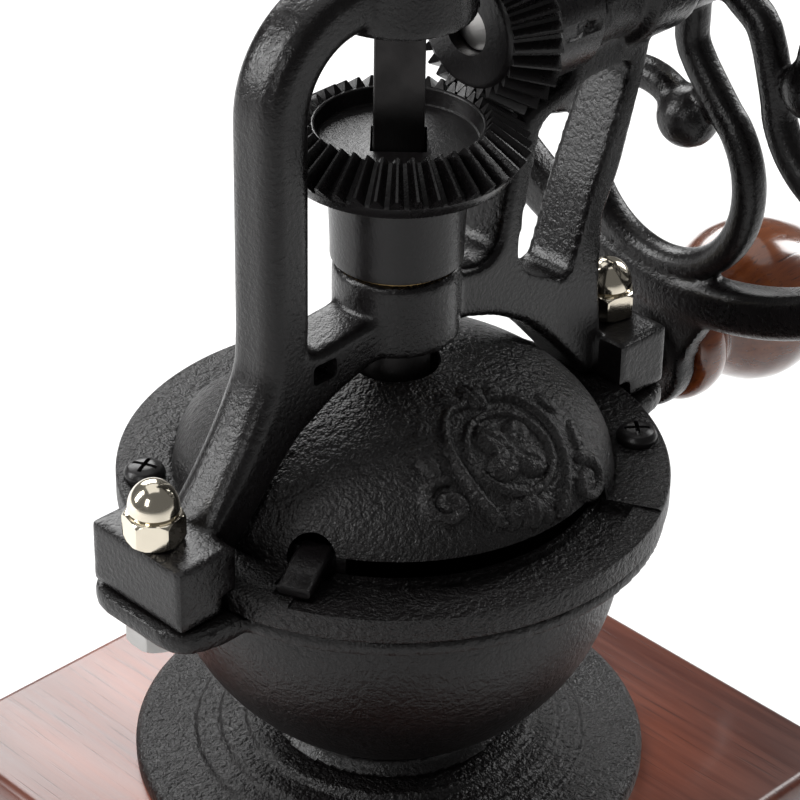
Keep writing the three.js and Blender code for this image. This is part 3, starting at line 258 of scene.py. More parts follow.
# %% Woods
def wood(name, light, dark, along, coat, roughness=0.4, painted_highlight=False):
    """Wood with its fibres along x, y or z (0, 1, 2)."""
    f = Finish(name)
    stretch = tuple(0.05 if axis == along else 1.0 for axis in range(3))
    fibres = f.noise(520, 4.0, stretch, 0.6)
    bands = f.noise(75, 3.0, tuple(0.12 if axis == along else 1.0 for axis in range(3)))
    pores = f.between(f.noise(1500, 1.0, tuple(0.03 if a == along else 1.0 for a in range(3))), 0.62, 0.74)
    share = f.between(bands * 0.6 + fibres * 0.4, 0.36, 0.64)
    colour = f.blend(share, dark, light)
    if painted_highlight:
        # Painted highlight: the board's colour is lighter round the mill's foot and darker towards its edges.
        parts = f.node("ShaderNodeSeparateXYZ", {}, {"Vector": f.place})
        x, y = parts["X"], parts["Y"]
        edge = f.between(x * x + y * y, 0.0024, 0.0062)
        colour = f.blend(edge * 0.62, colour, tuple(c * 0.35 for c in dark))
    colour = f.blend(pores * 0.6, colour, tuple(c * 0.35 for c in dark))
    normal = f.bump(fibres * 0.6 - pores * 0.5, 0.05 if coat else 0.12)
    rough = roughness + (fibres - 0.5) * 0.2
    return f.finish(Base_Color=colour, Roughness=rough, Normal=normal, Coat_Weight=coat, Coat_Roughness=0.13)


lacquered_wood = wood("lacquered_wood", (0.30, 0.075, 0.034), (0.11, 0.022, 0.012), 1, 0.3, 0.34, True)
wall_wood = wood("wall_wood", (0.17, 0.040, 0.018), (0.070, 0.014, 0.008), 0, 0.5)
dark_wood = wood("dark_wood", (0.13, 0.030, 0.014), (0.055, 0.012, 0.007), 0, 0.6)
pale_wood = wood("pale_wood", (0.52, 0.34, 0.17), (0.36, 0.21, 0.09), 1, 0.0, 0.6)
honey_knob = wood("honey_knob", (0.24, 0.060, 0.009), (0.075, 0.013, 0.003), 0, 1.0, 0.22)
print("woods:", lacquered_wood.name, wall_wood.name, dark_wood.name, pale_wood.name, honey_knob.name)

# %% Felt
f = Finish("felt")
fuzz = f.noise(1400, 4.0)
felt = f.finish(
    Base_Color=f.blend(fuzz, (0.010, 0.018, 0.009), (0.035, 0.055, 0.032)),
    Roughness=f.between(fuzz, 0.3, 0.7, 0.85, 1.0), Normal=f.bump(fuzz, 0.3), Sheen_Weight=0.3,
)
print("felt:", felt.name)

# %% [markdown]
# ## Mesh helpers
# Most of the mill is turned, swept or cast. A turned piece is a profile carried round an axis. A casting is
# several such solids joined, melted into one skin with a voxel remesh, and smoothed, which leaves the soft
# inside corners that a sand mould gives. Holes are drilled afterwards, so their edges stay crisp.


# %% Make a mesh
def mesh_object(name, points, faces):
    """A closed object from points in millimetres, with its normals outwards."""
    mesh = bpy.data.meshes.new(name)
    mesh.from_pydata([tuple(c * MM for c in p) for p in points], [], [tuple(face) for face in faces])
    work = bmesh.new()
    work.from_mesh(mesh)
    bmesh.ops.remove_doubles(work, verts=work.verts, dist=1e-6)
    bmesh.ops.recalc_face_normals(work, faces=work.faces)
    work.to_mesh(mesh)
    work.free()
    made = bpy.data.objects.new(name, mesh)
    bpy.context.scene.collection.objects.link(made)
    return made


def baked(obj):
    """The object with its modifiers applied."""
    graph = bpy.context.evaluated_depsgraph_get()
    mesh = bpy.data.meshes.new_from_object(obj.evaluated_get(graph))
    obj.modifiers.clear()
    old, obj.data = obj.data, mesh
    bpy.data.meshes.remove(old)
    return obj


def joined(name, objects):
    """Several objects as one mesh."""
    work = bmesh.new()
    for obj in objects:
        work.from_mesh(obj.data)
        bpy.data.objects.remove(obj)
    mesh = bpy.data.meshes.new(name)
    work.to_mesh(mesh)
    work.free()
    made = bpy.data.objects.new(name, mesh)
    bpy.context.scene.collection.objects.link(made)
    return made


def carved(obj, tool, operation="DIFFERENCE"):
    """The object after a boolean with a tool, which is used up."""
    modifier = obj.modifiers.new("carve", "BOOLEAN")
    modifier.operation = operation
    modifier.solver = "EXACT"
    modifier.object = tool
    baked(obj)
    bpy.data.objects.remove(tool)
    return obj


def melted(name, objects, voxel_mm, smooth):
    """Overlapping solids melted into one cast skin."""
    made = joined(name, objects)
    remesh = made.modifiers.new("melt", "REMESH")
    remesh.mode = "VOXEL"
    remesh.voxel_size = voxel_mm * MM
    soften = made.modifiers.new("soften", "SMOOTH")
    soften.factor = 0.5
    soften.iterations = smooth
    return baked(made)


def moved(obj, matrix):
    obj.data.transform(matrix)
    if matrix.determinant() < 0:
        obj.data.flip_normals()
    return obj


def shift(x, y, z):
    return Matrix.Translation(Vector((x, y, z)) * MM)


def spin(degrees):
    """A turn about the Z axis."""
    return Matrix.Rotation(math.radians(degrees), 4, "Z")


def polar(radius, degrees):
    """The (x, y) of a point at a radius and an angle."""
    return radius * math.cos(math.radians(degrees)), radius * math.sin(math.radians(degrees))


LYING = Matrix.Rotation(math.pi / 2, 4, "Y")
ALONG_SHAFT = shift(0, 0, AXIS_Z) @ LYING
ALONG_FRONT = Matrix.Rotation(math.pi / 2, 4, "X")


# %% Turn, sweep and round
def rounded(outline, radius, steps=3):
    """A closed outline with its corners rounded, except those on the axis."""
    made = []
    count = len(outline)
    for i, corner in enumerate(np.array(outline, float)):
        before, after = np.array(outline[i - 1], float), np.array(outline[(i + 1) % count], float)
        if abs(corner[0]) < 1e-6 or radius == 0:
            made.append(tuple(corner))
            continue
        lengths = [np.linalg.norm(p - corner) for p in (before, after)]
        cut = min(radius, 0.45 * lengths[0], 0.45 * lengths[1])
        start = corner + (before - corner) * cut / lengths[0]
        end = corner + (after - corner) * cut / lengths[1]
        for t in np.linspace(0, 1, steps + 1):
            made.append(tuple((1 - t) ** 2 * start + 2 * t * (1 - t) * corner + t * t * end))
    return made


def grid_faces(rows, columns):
    """Quads of a grid that closes on itself both ways."""
    faces = []
    for i in range(rows):
        here, there = i * columns, (i + 1) % rows * columns
        for j in range(columns):
            beside = (j + 1) % columns
            faces.append((here + j, here + beside, there + beside, there + j))
    return faces


def turned(name, profile, radius=0.5, segments=96, steps=3):
    """A closed profile of (radius, height) turned round the Z axis."""
    outline = rounded(profile, radius, steps)
    angles = np.linspace(0, 2 * math.pi, segments, endpoint=False)
    points = [(r * math.cos(a), r * math.sin(a), z) for r, z in outline for a in angles]
    faces = grid_faces(len(outline), segments)
    on_axis = [r < 1e-6 for r, _ in outline]
    flat_row = [here and there for here, there in zip(on_axis, on_axis[1:] + on_axis[:1])]
    keep = [face for n, face in enumerate(faces) if not flat_row[n // segments]]
    made = mesh_object(name, points, keep)
    work = bmesh.new()
    work.from_mesh(made.data)
    bmesh.ops.dissolve_degenerate(work, edges=work.edges, dist=1e-7)
    bmesh.ops.recalc_face_normals(work, faces=work.faces)
    work.to_mesh(made.data)
    work.free()
    return made


def rod(radius, low, high, segments=48):
    return turned("rod", [(0, low), (radius, low), (radius, high), (0, high)], 0, segments)


def bar_section(half, depth, corner, steps=4):
    """A rounded rectangle, as (across, depth) points."""
    corner = min(corner, half * 0.98, depth * 0.98)
    made = []
    for cx, cy, start in ((half - corner, depth - corner, 0), (-half + corner, depth - corner, 90),
                          (-half + corner, -depth + corner, 180), (half - corner, -depth + corner, 270)):
        for step in range(steps + 1):
            a = math.radians(start + 90 * step / steps)
            made.append((cx + corner * math.cos(a), cy + corner * math.sin(a)))
    return made


def smooth_line(points, per_span=6):
    """A smooth line through points, each a row of numbers."""
    p = np.array(points, float)
    p = np.vstack([2 * p[0] - p[1], p, 2 * p[-1] - p[-2]])
    made = []
    for i in range(1, len(p) - 2):
        for t in np.linspace(0, 1, per_span, endpoint=False):
            a, b, c, d = p[i - 1 : i + 3]
            square, cube = (2 * a - 5 * b + 4 * c - d) * t**2, (3 * b - a - 3 * c + d) * t**3
            made.append(0.5 * (2 * b + (c - a) * t + square + cube))
    return np.array(made + [p[-2]])


def swept(name, line, section, to_world):
    """A bar along a line of (p, q, scale) points in a plane. to_world(p, q, depth) gives its place."""
    points = []
    for i, (p, q, scale) in enumerate(line):
        ahead, behind = line[min(i + 1, len(line) - 1)], line[max(i - 1, 0)]
        direction = np.array(ahead[:2]) - np.array(behind[:2])
        nx, ny = np.array([-direction[1], direction[0]]) / np.linalg.norm(direction)
        for across, depth in section:
            points.append(to_world(p + nx * across * scale, q + ny * across * scale, depth))
    size = len(section)
    rows = len(line)
    faces = [face for n, face in enumerate(grid_faces(rows, size)) if n // size < rows - 1]
    faces += [tuple(range(size)), tuple(range((rows - 1) * size, rows * size))]
    return mesh_object(name, points, faces)


def plate_of(name, outline, half_depth, to_world, edge=1.0):
    """A flat plate with softened edges, from its outline."""
    flat = mesh_object(name, [to_world(p, q, -half_depth) for p, q in outline], [tuple(range(len(outline)))])
    away = Vector(to_world(0, 0, 1)) - Vector(to_world(0, 0, 0))
    work = bmesh.new()
    work.from_mesh(flat.data)
    made = bmesh.ops.extrude_face_region(work, geom=work.faces[:])
    verts = [v for v in made["geom"] if isinstance(v, bmesh.types.BMVert)]
    bmesh.ops.translate(work, verts=verts, vec=away * (2 * half_depth * MM))
    bmesh.ops.recalc_face_normals(work, faces=work.faces)
    work.to_mesh(flat.data)
    work.free()
    if edge:
        soften = flat.modifiers.new("edge", "BEVEL")
        soften.width = edge * MM
        soften.segments = 3
        soften.limit_method = "ANGLE"
        soften.angle_limit = math.radians(40)
        baked(flat)
    return flat


def on_front(p, q, depth):
    """The yoke's plane: x across, height over the lid's flange, and depth along Y."""
    return (p, depth, q + LID_TOP)


def level(height):
    """A flat plane at a height."""
    return lambda p, q, depth: (p, q, height + depth)


KNOB_AT = (box("crank_knob")[0][1:] + box("crank_knob")[1][1:]) / 2  # Y and Z of the knob's axis
TO_LUG = shift(0, *KNOB_AT) @ LYING
print("mesh helpers ready, the knob turns about", KNOB_AT)


# %% Finish a piece
made_pieces = []


def finish_piece(obj, name, node, material, angle=32):
    """Names a piece, gives it its finish, and lets it ride in place of its CAD node."""
    obj.name = name
    mesh = obj.data
    mesh.name = name
    mesh.materials.clear()
    mesh.materials.append(material)
    mesh.polygons.foreach_set("material_index", np.zeros(len(mesh.polygons), np.int32))
    mesh.polygons.foreach_set("use_smooth", np.ones(len(mesh.polygons), bool))
    mesh.set_sharp_from_angle(angle=math.radians(angle))
    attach(obj, BODY_OF[node])
    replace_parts(obj, node)
    SLOT_OF[node]
    made_pieces.append(obj)
    print(f"{name}: {sum(len(p.vertices) - 2 for p in mesh.polygons)} triangles")
    return obj


# %% [markdown]
# ## The lid
# The lid is a flange with a flattened dome. A sculpted relief could be baked from a high mesh, but here the
# dome is already a fine grid, so each point is simply pushed out by a height that a few rules give: ridges
# along lines, and rounded leaves and petals. The ornament is a plain rosette in a shield with scrolls.


# %% Relief on the dome
def ridge(u, v, line, half, height):
    """Height of a rounded ridge along a line of (u, v) points."""
    nearest = np.full(u.shape, 1e9)
    for (ax, ay), (bx, by) in zip(line[:-1], line[1:]):
        dx, dy = bx - ax, by - ay
        t = np.clip(((u - ax) * dx + (v - ay) * dy) / (dx * dx + dy * dy), 0, 1)
        nearest = np.minimum(nearest, np.hypot(u - ax - t * dx, v - ay - t * dy))
    return height * np.sqrt(np.clip(1 - (nearest / half) ** 2, 0, 1)) ** 0.8


def leaf(u, v, cu, cv, long, wide, turn, height):
    """Height of a rounded leaf with its length turned from the u axis."""
    a = math.radians(turn)
    p = (u - cu) * math.cos(a) + (v - cv) * math.sin(a)
    q = -(u - cu) * math.sin(a) + (v - cv) * math.cos(a)
    body = np.clip(1 - (p / long) ** 2 - (q / wide) ** 2, 0, 1) ** 0.45
    groove = 0.35 * np.exp(-((q / 0.45) ** 2)) * (np.abs(p) < long * 0.8)
    return height * np.clip(body - groove * body, 0, 1)


def spiral(cu, cv, start_radius, turns, start, hand):
    """Points of a scroll that curls in to its centre."""
    steps = np.linspace(0, 1, 26)
    return [
        (cu + start_radius * (1 - 0.8 * t) * math.cos(math.radians(start + hand * 360 * turns * t)),
         cv + start_radius * (1 - 0.8 * t) * math.sin(math.radians(start + hand * 360 * turns * t)))
        for t in steps
    ]


def relief(u, v):
    """The ornament's height in millimetres at (u, v) from its rosette, v up the dome."""
    parts = []
    for turn in (45, 135, 225, 315):
        a = math.radians(turn)
        parts.append(leaf(u, v, 4.0 * math.cos(a), 4.0 * math.sin(a), 3.5, 3.0, turn, 1.35))
    parts.append(leaf(u, v, 0, 0, 1.5, 1.5, 0, 1.2))
    circle = [(8.6 * math.cos(t), 8.6 * math.sin(t)) for t in np.linspace(0, 2 * math.pi, 40)]
    parts.append(ridge(u, v, circle, 0.8, 0.9))
    for side in (-1, 1):
        edge = ((3.4, 12.2), (9.2, 10), (12, 3), (10, -6), (5.6, -14))
        shield = smooth_line([(side * across, up) for across, up in edge], 5)
        parts.append(ridge(u, v, shield, 0.85, 1.15))
        parts.append(ridge(u, v, spiral(side * 14.2, -10.2, 4.6, 1.1, 90, -side), 1.15, 1.25))
        parts.append(leaf(u, v, side * 14.2, -10.2, 1.9, 1.9, 0, 1.3))
        parts.append(leaf(u, v, side * 16.6, -2.4, 3.2, 1.7, 90 - side * 25, 1.2))
        parts.append(leaf(u, v, side * 16.2, 5.4, 2.6, 1.5, 90 + side * 20, 1.1))
        parts.append(leaf(u, v, side * 6.3, 13.6, 3.4, 1.4, 90 - side * 60, 1.1))
        parts.append(leaf(u, v, side * 3.0, -12.4, 3.0, 1.3, 90 + side * 14, 1.0))
    parts.append(leaf(u, v, 0, 13.6, 3.6, 3.0, 90, 1.5))
    parts.append(leaf(u, v, 0, -12.2, 3.4, 2.2, 90, 1.2))
    return np.max(parts, axis=0)


# %% Lid grid
DOME_R, DOME_H = 42.0, 22.5
FLANGE_R, HOLE_R, WALL = 53.0, 8.6, 2.4
FLANGE_LOW = LID_TOP - 5.6
ROSETTE_AT, ROSETTE_R, ROSETTE_TILT = 270.5, 30.2, -14.0


def dome_arc(inset, foot, steps):
    """(radius, height) along the dome's ellipse, from its foot to the hole in its top."""
    a, b = DOME_R - inset, DOME_H - inset
    end = math.acos(HOLE_R / a)
    return [(a * math.cos(t), LID_TOP + b * math.sin(t)) for t in np.linspace(foot, end, steps)]


def lid_grid():
    columns = 440
    foot = [(DOME_R - WALL, FLANGE_LOW), (FLANGE_R, FLANGE_LOW), (FLANGE_R, LID_TOP), (DOME_R + 0.3, LID_TOP)]
    flange = rounded(foot, 0.8, 3)[2:-1]
    outer = dome_arc(0, 0.06, 104)
    inner = dome_arc(WALL, 0.0, 26)[::-1]
    rows = [*flange, *outer, *inner]
    angles = np.linspace(0, 2 * math.pi, columns, endpoint=False)
    r = np.array([row[0] for row in rows])[:, None] * np.ones(columns)
    z = np.array([row[1] for row in rows])[:, None] * np.ones(columns)
    first = len(flange)
    span = slice(first, first + len(outer))
    arc = np.concatenate([[0], np.cumsum(np.hypot(*np.diff(np.array(outer), axis=0).T))])
    rosette_arc = np.interp(-ROSETTE_R, -np.array(outer)[:, 0], arc)
    turn = (np.degrees(angles) - ROSETTE_AT + 180) % 360 - 180
    u = np.radians(turn)[None, :] * (0.45 * r[span] + 0.55 * ROSETTE_R)
    v = (arc - rosette_arc)[:, None] * np.ones(columns)
    tilt = math.radians(ROSETTE_TILT)
    height = relief(u * math.cos(tilt) + v * math.sin(tilt), -u * math.sin(tilt) + v * math.cos(tilt))
    height = height * np.clip((arc[:, None] - 0.8) / 1.5, 0, 1) * (np.abs(turn)[None, :] < 75)
    normal_r = r[span] / DOME_R**2
    normal_z = (z[span] - LID_TOP) / DOME_H**2
    size = np.hypot(normal_r, normal_z)
    r[span] += height * normal_r / size
    z[span] += height * normal_z / size
    x, y = r * np.cos(angles), r * np.sin(angles)
    return mesh_object("lid_skin", np.stack([x, y, z], -1).reshape(-1, 3), grid_faces(len(rows), columns))


lid = lid_grid()
print("lid grid:", len(lid.data.polygons), "faces")


# %% [markdown]
# The lid's openings are cut last: the filling window at the back, the slot under the front edge that the
# door's tab travels in, its arched notch, the recessed track, and two screw holes.


# %% Lid openings
def pie(name, start, end, inner, outer, low, high):
    """A ring sector, for cutting windows and slots."""
    angles = np.radians(np.linspace(start, end, max(4, int((end - start) / 2))))
    outline = [(outer * math.cos(a), outer * math.sin(a)) for a in angles]
    outline += [(inner * math.cos(a), inner * math.sin(a)) for a in angles[::-1]]
    middle = (low + high) / 2
    return plate_of(name, outline, (high - low) / 2, level(middle), 0)


carved(lid, pie("window", 52, 124, 20, 56, LID_TOP + 3, LID_TOP + 15))
carved(lid, pie("door_slot", TAB_TURN, 297, 30, 60, LID_TOP - 0.4, LID_TOP + 4.2))
carved(lid, pie("track", 199, 297, 41, 47.5, LID_TOP - 2, LID_TOP + 0.6))
notch_place = shift(0, 0, LID_TOP + 2.6) @ spin(TAB_TURN) @ LYING
carved(lid, moved(rod(4.9, 20, 50), notch_place))
SCREW_CIRCLE = 47.6
for angle in (145, 325):
    x, y = polar(SCREW_CIRCLE, angle)
    carved(lid, moved(rod(2.3, LID_TOP - 8, LID_TOP + 3), shift(x, y, 0)))
finish_piece(lid, "lid_dome", "lid", rough_enamel, 50)


# %% [markdown]
# ## Door inside the lid
# A thin shell turns inside the dome and closes the filling window. Its tab comes out through the notch, so it
# can be pushed with a finger. The shell is a turned profile cut to a sector, with the tab swept as a bar.


# %% Lid door
def door_arc(inset, steps=24):
    a, b = DOME_R - inset, DOME_H - inset
    return [(a * math.cos(t), LID_TOP + b * math.sin(t)) for t in np.linspace(0, math.acos(14 / a), steps)]


door_low = span("lid_door", Z)[0]
OUTER, INNER = 3.0, 3.0 + 1.6  # of the shell, in from the dome's face
foot = [(DOME_R - OUTER - 1.6, door_low), (DOME_R - OUTER, door_low)]
profile = [*foot, *door_arc(OUTER), *door_arc(INNER)[::-1]]
panel = turned("door_panel", profile, 0, 144)
carved(panel, pie("panel_sector", 47, 129, 2, 60, LID_TOP - 9, LID_TOP + 30), "INTERSECT")
band = turned("door_band", profile, 0, 144)
carved(band, pie("band_sector", 47, 213, 2, 60, LID_TOP - 9, LID_TOP + 3), "INTERSECT")
carved(panel, band, "UNION")
tab_line = [(DOME_R - OUTER - 1, LID_TOP + 3.1, 0.92), (43, LID_TOP + 3.0, 1),
            (47, LID_TOP + 1.9, 1), (50.2, LID_TOP + 1.5, 0.85)]
tab = swept("door_tab", smooth_line(tab_line, 5), bar_section(1.25, 3.25, 1.0), lambda p, q, d: (p, d, q))
moved(tab, spin(TAB_TURN))
carved(panel, tab, "UNION")
finish_piece(panel, "lid_door_shell", "lid_door", satin_enamel)


# %% [markdown]
# ## Bowl and base plate
# Both are turned. The bowl gets two ears for the clamp bolts, joined by melting so that they flow into it.
# The base plate rises in shallow steps, which only need a good profile.


# %% Bowl
BOWL_R, BOWL_INSIDE = 44.9, 38.5
BOWL_CENTRE = LID_TOP - 16


def bowl_arc(radius, low, high, steps):
    a, b = (math.asin((z - BOWL_CENTRE) / radius) for z in (low, high))
    return [(radius * math.cos(t), BOWL_CENTRE + radius * math.sin(t)) for t in np.linspace(a, b, steps)]


neck = span("bowl", Z)[0]
rim = LID_TOP - 5.7
burr_low, burr_high = span("outer_burr", Z)
burr_high += 0.1
sphere_low = BOWL_CENTRE - math.sqrt(BOWL_R**2 - 21**2)
bowl_profile = [
    (16, neck), (24.6, neck), (23.4, neck + 1.2), (21.8, neck + 2.4),
    *bowl_arc(BOWL_R, sphere_low + 0.8, rim - 3.9, 34), (47.5, rim - 3.6), (52.5, rim - 3.3), (52.5, rim),
    *bowl_arc(BOWL_INSIDE, burr_high + 3, rim, 14)[::-1],
    (21.65, burr_high), (21.65, burr_low - 0.1), (16, burr_low - 0.1),
]
bowl_body = turned("bowl_body", bowl_profile, 0.7, 160)
ears = []
ear_top = LID_TOP - 4.3
for side in (-1, 1):
    near = [(42, -14.6), (58, -14.8), (63.5, -12.9), (65.6, -9)]
    section = [(side * x, y) for x, y in near + [(x, -y) for x, y in near[::-1]]]
    ear = plate_of("ear", rounded(section, 3, 4), 2.2, level(ear_top - 2.2), 0.9)
    ears.append(carved(ear, rod(53.45, rim, LID_TOP + 9, 128)))
inside_arc = bowl_arc(BOWL_INSIDE, burr_high + 3, rim + 0.1, 14)
inside = [(0, burr_high + 1), (20, burr_high + 1), *inside_arc, (0, rim + 0.1)]
hollow = turned("hollow", inside, 0, 96)
for ear in ears:
    inner = hollow.copy()
    inner.data = hollow.data.copy()
    bpy.context.scene.collection.objects.link(inner)
    carved(ear, inner)
bpy.data.objects.remove(hollow)
bowl = melted("bowl_cast", [bowl_body, *ears], 0.85, 3)
for side in (-1, 1):
    carved(bowl, moved(rod(BOLT_HOLE, ear_top - 9, ear_top + 4), shift(side * BOLT_X, 0, 0)))
finish_piece(bowl, "bowl_cast", "bowl", bowl_enamel)

# %% Base plate
low, high = span("base_plate", Z)
step_heights = [low + 4.3, low + 5.8, low + 7.3, high]
plate_profile = [(16, low), (51, low), (51, low + 3.1), (49.6, low + 4.3)]
for radius, before, after in zip((38.4, 33.6, 28.4), step_heights, step_heights[1:]):
    plate_profile += [(radius + 0.9, before), (radius, after)]
plate_profile += [(16, high)]
base_plate = turned("base_plate_cast", plate_profile, 0.7, 160)
finish_piece(base_plate, "base_plate_cast", "base_plate", rough_enamel, 60)


# %% [markdown]
# ## The yoke
# The yoke carries the gears: a bent post on the left, an arch on the right, an openwork leg and two clamp
# blocks. It is cast in one piece. Bars are swept, plates are cut from outlines, and everything is melted
# together. Its bores are drilled at the end.


# %% Yoke
def bent_post():
    post_x, bend_r = -31, 17.5
    quarter = np.linspace(0, math.pi / 2, 14)
    bend = [(post_x + bend_r - bend_r * math.cos(t), 82 + bend_r * math.sin(t), 1) for t in quarter]
    foot = [(-47.6, 7, 0.9), (-40, 17.6, 0.9), (-34.4, 26.2, 1), (-31.6, 33, 1), (post_x, 41, 1)]
    line = [*smooth_line(foot, 6), (post_x, 60, 1), *bend, (-6, 100.6, 1), (0, 102.5, 1)]
    return swept("post", line, bar_section(5.25, 6, 3.4, 5), on_front)


def gear_arch():
    line = [(0, 106, 1), (8, 109, 1), (16, 110.4, 1), (30, 109.8, 1), (43, 103, 1), (53.5, 93, 1)]
    return swept("arch", smooth_line(line, 6), bar_section(5, 6, 3.4, 5), on_front)


LEFT_ARM = [(0, 28.5), (0, 37), (-10, 37), (-24.9, 35.4), (-28.8, 37), (-33, 36), (-35, 28), (-52, 8.4),
            (-52, 1), (-47, 1), (-42, 5.7), (-36, 13.2), (-29.8, 19.7), (-19.9, 25), (-9.8, 28)]
RIGHT_LEG = [(0, 28.1), (12.3, 28.1), (21.9, 24.8), (30.4, 19.8), (37.9, 12.4), (45.6, 3.5), (47.6, 1),
             (52, 1), (52, 9), (50.8, 20), (50.6, 36.5), (54.8, 44.8), (61, 66), (63, 78), (41.5, 78),
             (39.6, 68.6), (28, 66), (25.5, 59), (21.5, 39.5), (17, 37.5), (11, 39), (0, 39)]
LEG_WINDOW = [(27.1, 41.9), (26.9, 35.1), (29.8, 31.1), (41.3, 25.6), (47.2, 43.1), (56.4, 65.4), (55, 68),
              (45, 68), (31.5, 62.5)]


def clamp_block(side):
    """The block over the bowl's ear, with the step that reaches down past the lid's flange."""
    def upright(low_x, high_x, low_z, high_z):
        xs = sorted((side * low_x, side * high_x))
        middle = (low_z + high_z) / 2
        outline = [(xs[0], -12.2), (xs[1], -12.2), (xs[1], 12.2), (xs[0], 12.2)]
        return plate_of("block", outline, (high_z - low_z) / 2, level(middle), 0)
    return [upright(50.8, 64.2, LID_TOP + 0.1, LID_TOP + 9), upright(54.3, 64.2, LID_TOP - 4.1, LID_TOP + 3)]


parts = [bent_post(), gear_arch()]
parts.append(plate_of("left_arm", rounded(LEFT_ARM, 2.4, 4), 6, on_front, 1.3))
leg = plate_of("right_leg", rounded(RIGHT_LEG, 2.4, 4), 6, on_front, 1.3)
carved(leg, plate_of("leg_window", rounded(LEG_WINDOW, 3, 4), 9, on_front, 0))
parts += [leg, *clamp_block(-1), *clamp_block(1)]
bosses = (("lower_boss", 12, 28.5, 43.6, 0.7), ("upper_boss", 13.7, 93, 116, 0.9))
for name, radius, low, high, edge in bosses:
    low, high = LID_TOP + low, LID_TOP + high
    parts.append(turned(name, [(0, low), (radius, low), (radius, high), (0, high)], edge))
bearing = [(0, 41), (12, 41), (12, 52.5), (14.5, 53.3), (14.5, 66), (0, 66)]
parts.append(moved(turned("bearing", bearing, 0.8), ALONG_SHAFT))
yoke = melted("yoke_cast", parts, 0.85, 4)
print("yoke skin:", len(yoke.data.polygons), "faces")

# %% Yoke bores
SIGHT_HOLE = [(-26.4, 29.4), (-20.6, 29.4), (-20.6, 33.4), (-26.4, 33.4)]
bores = [
    rod(9.5, LID_TOP + 26, LID_TOP + 46, 64), rod(7.5, LID_TOP + 91, LID_TOP + 118, 64),
    moved(rod(8.1, 38, 68, 64), ALONG_SHAFT),
    plate_of("sight_hole", rounded(SIGHT_HOLE, 1, 3), 9, on_front, 0),
    *[moved(rod(BOLT_HOLE, LID_TOP - 6, LID_TOP + 12), shift(side * BOLT_X, 0, 0)) for side in (-1, 1)],
]
carved(yoke, joined("bores", bores))
finish_piece(yoke, "yoke_cast", "frame", satin_enamel)

# %% [markdown]
# ## The flywheel
# The wheel is the piece with the clearest rule: one pair of mirrored scrolls, repeated three times round the
# hub. Geometry Nodes do that repeat. The tree takes the solid of one pair, the count, the radius and the
# material as named inputs, and its result is melted with the rim and the hub.


# %% Repeat round an axis
def ring_tree(name):
    """Copies of an object round the Z axis. Inputs: the object, the count, the radius and the material."""
    tree = bpy.data.node_groups.new(name, "GeometryNodeTree")
    inputs = {"Geometry": "Geometry", "Piece": "Object", "Count": "Int"}
    inputs.update({"Radius": "Float", "Material": "Material"})
    for label, kind in inputs.items():
        tree.interface.new_socket(label, in_out="INPUT", socket_type="NodeSocket" + kind)
    tree.interface.new_socket("Geometry", in_out="OUTPUT", socket_type="NodeSocketGeometry")
    add = tree.nodes.new
    source, sink = add("NodeGroupInput"), add("NodeGroupOutput")
    points = add("GeometryNodeMeshLine")
    index, step, angle = add("GeometryNodeInputIndex"), add("ShaderNodeMath"), add("ShaderNodeMath")
    step.operation, angle.operation = "DIVIDE", "MULTIPLY"
    step.inputs[0].default_value = 2 * math.pi
    heading, info = add("ShaderNodeCombineXYZ"), add("GeometryNodeObjectInfo")
    out, turn = add("ShaderNodeCombineXYZ"), add("ShaderNodeVectorRotate")
    turn.rotation_type = "Z_AXIS"
    place, copies = add("GeometryNodeSetPosition"), add("GeometryNodeInstanceOnPoints")
    real, paint = add("GeometryNodeRealizeInstances"), add("GeometryNodeSetMaterial")
    link = tree.links.new
    link(source.outputs["Count"], points.inputs["Count"])
    points.inputs["Offset"].default_value = (0, 0, 0)
    link(source.outputs["Count"], step.inputs[1])
    link(index.outputs[0], angle.inputs[0])
    link(step.outputs[0], angle.inputs[1])
    link(angle.outputs[0], heading.inputs["Z"])
    link(source.outputs["Radius"], out.inputs["X"])
    link(out.outputs[0], turn.inputs["Vector"])
    link(angle.outputs[0], turn.inputs["Angle"])
    link(points.outputs["Mesh"], place.inputs["Geometry"])
    link(turn.outputs[0], place.inputs["Position"])
    link(source.outputs["Piece"], info.inputs["Object"])
    link(place.outputs[0], copies.inputs["Points"])
    link(info.outputs["Geometry"], copies.inputs["Instance"])
    link(heading.outputs[0], copies.inputs["Rotation"])
    link(copies.outputs[0], real.inputs[0])
    link(real.outputs[0], paint.inputs["Geometry"])
    link(source.outputs["Material"], paint.inputs["Material"])
    link(paint.outputs[0], sink.inputs[0])
    return tree


RING = ring_tree("repeat_round_axis")


def ringed(name, unit, count, radius_mm, material):
    """The unit repeated round the Z axis, as a plain mesh. The unit is used up."""
    made = bpy.data.objects.new(name, bpy.data.meshes.new(name))
    bpy.context.scene.collection.objects.link(made)
    modifier = made.modifiers.new("ring", "NODES")
    modifier.node_group = RING
    names = {item.name: item.identifier for item in RING.interface.items_tree if item.in_out == "INPUT"}
    modifier[names["Piece"]] = unit
    modifier[names["Count"]] = count
    modifier[names["Radius"]] = radius_mm * MM
    modifier[names["Material"]] = material
    baked(made)
    bpy.data.objects.remove(unit)
    return made


# %% Flywheel
SCROLL_OUT, SCROLL_R = 50.4, 21.8  # a scroll's centre from the axis, and its radius
BALL_R = 6.5


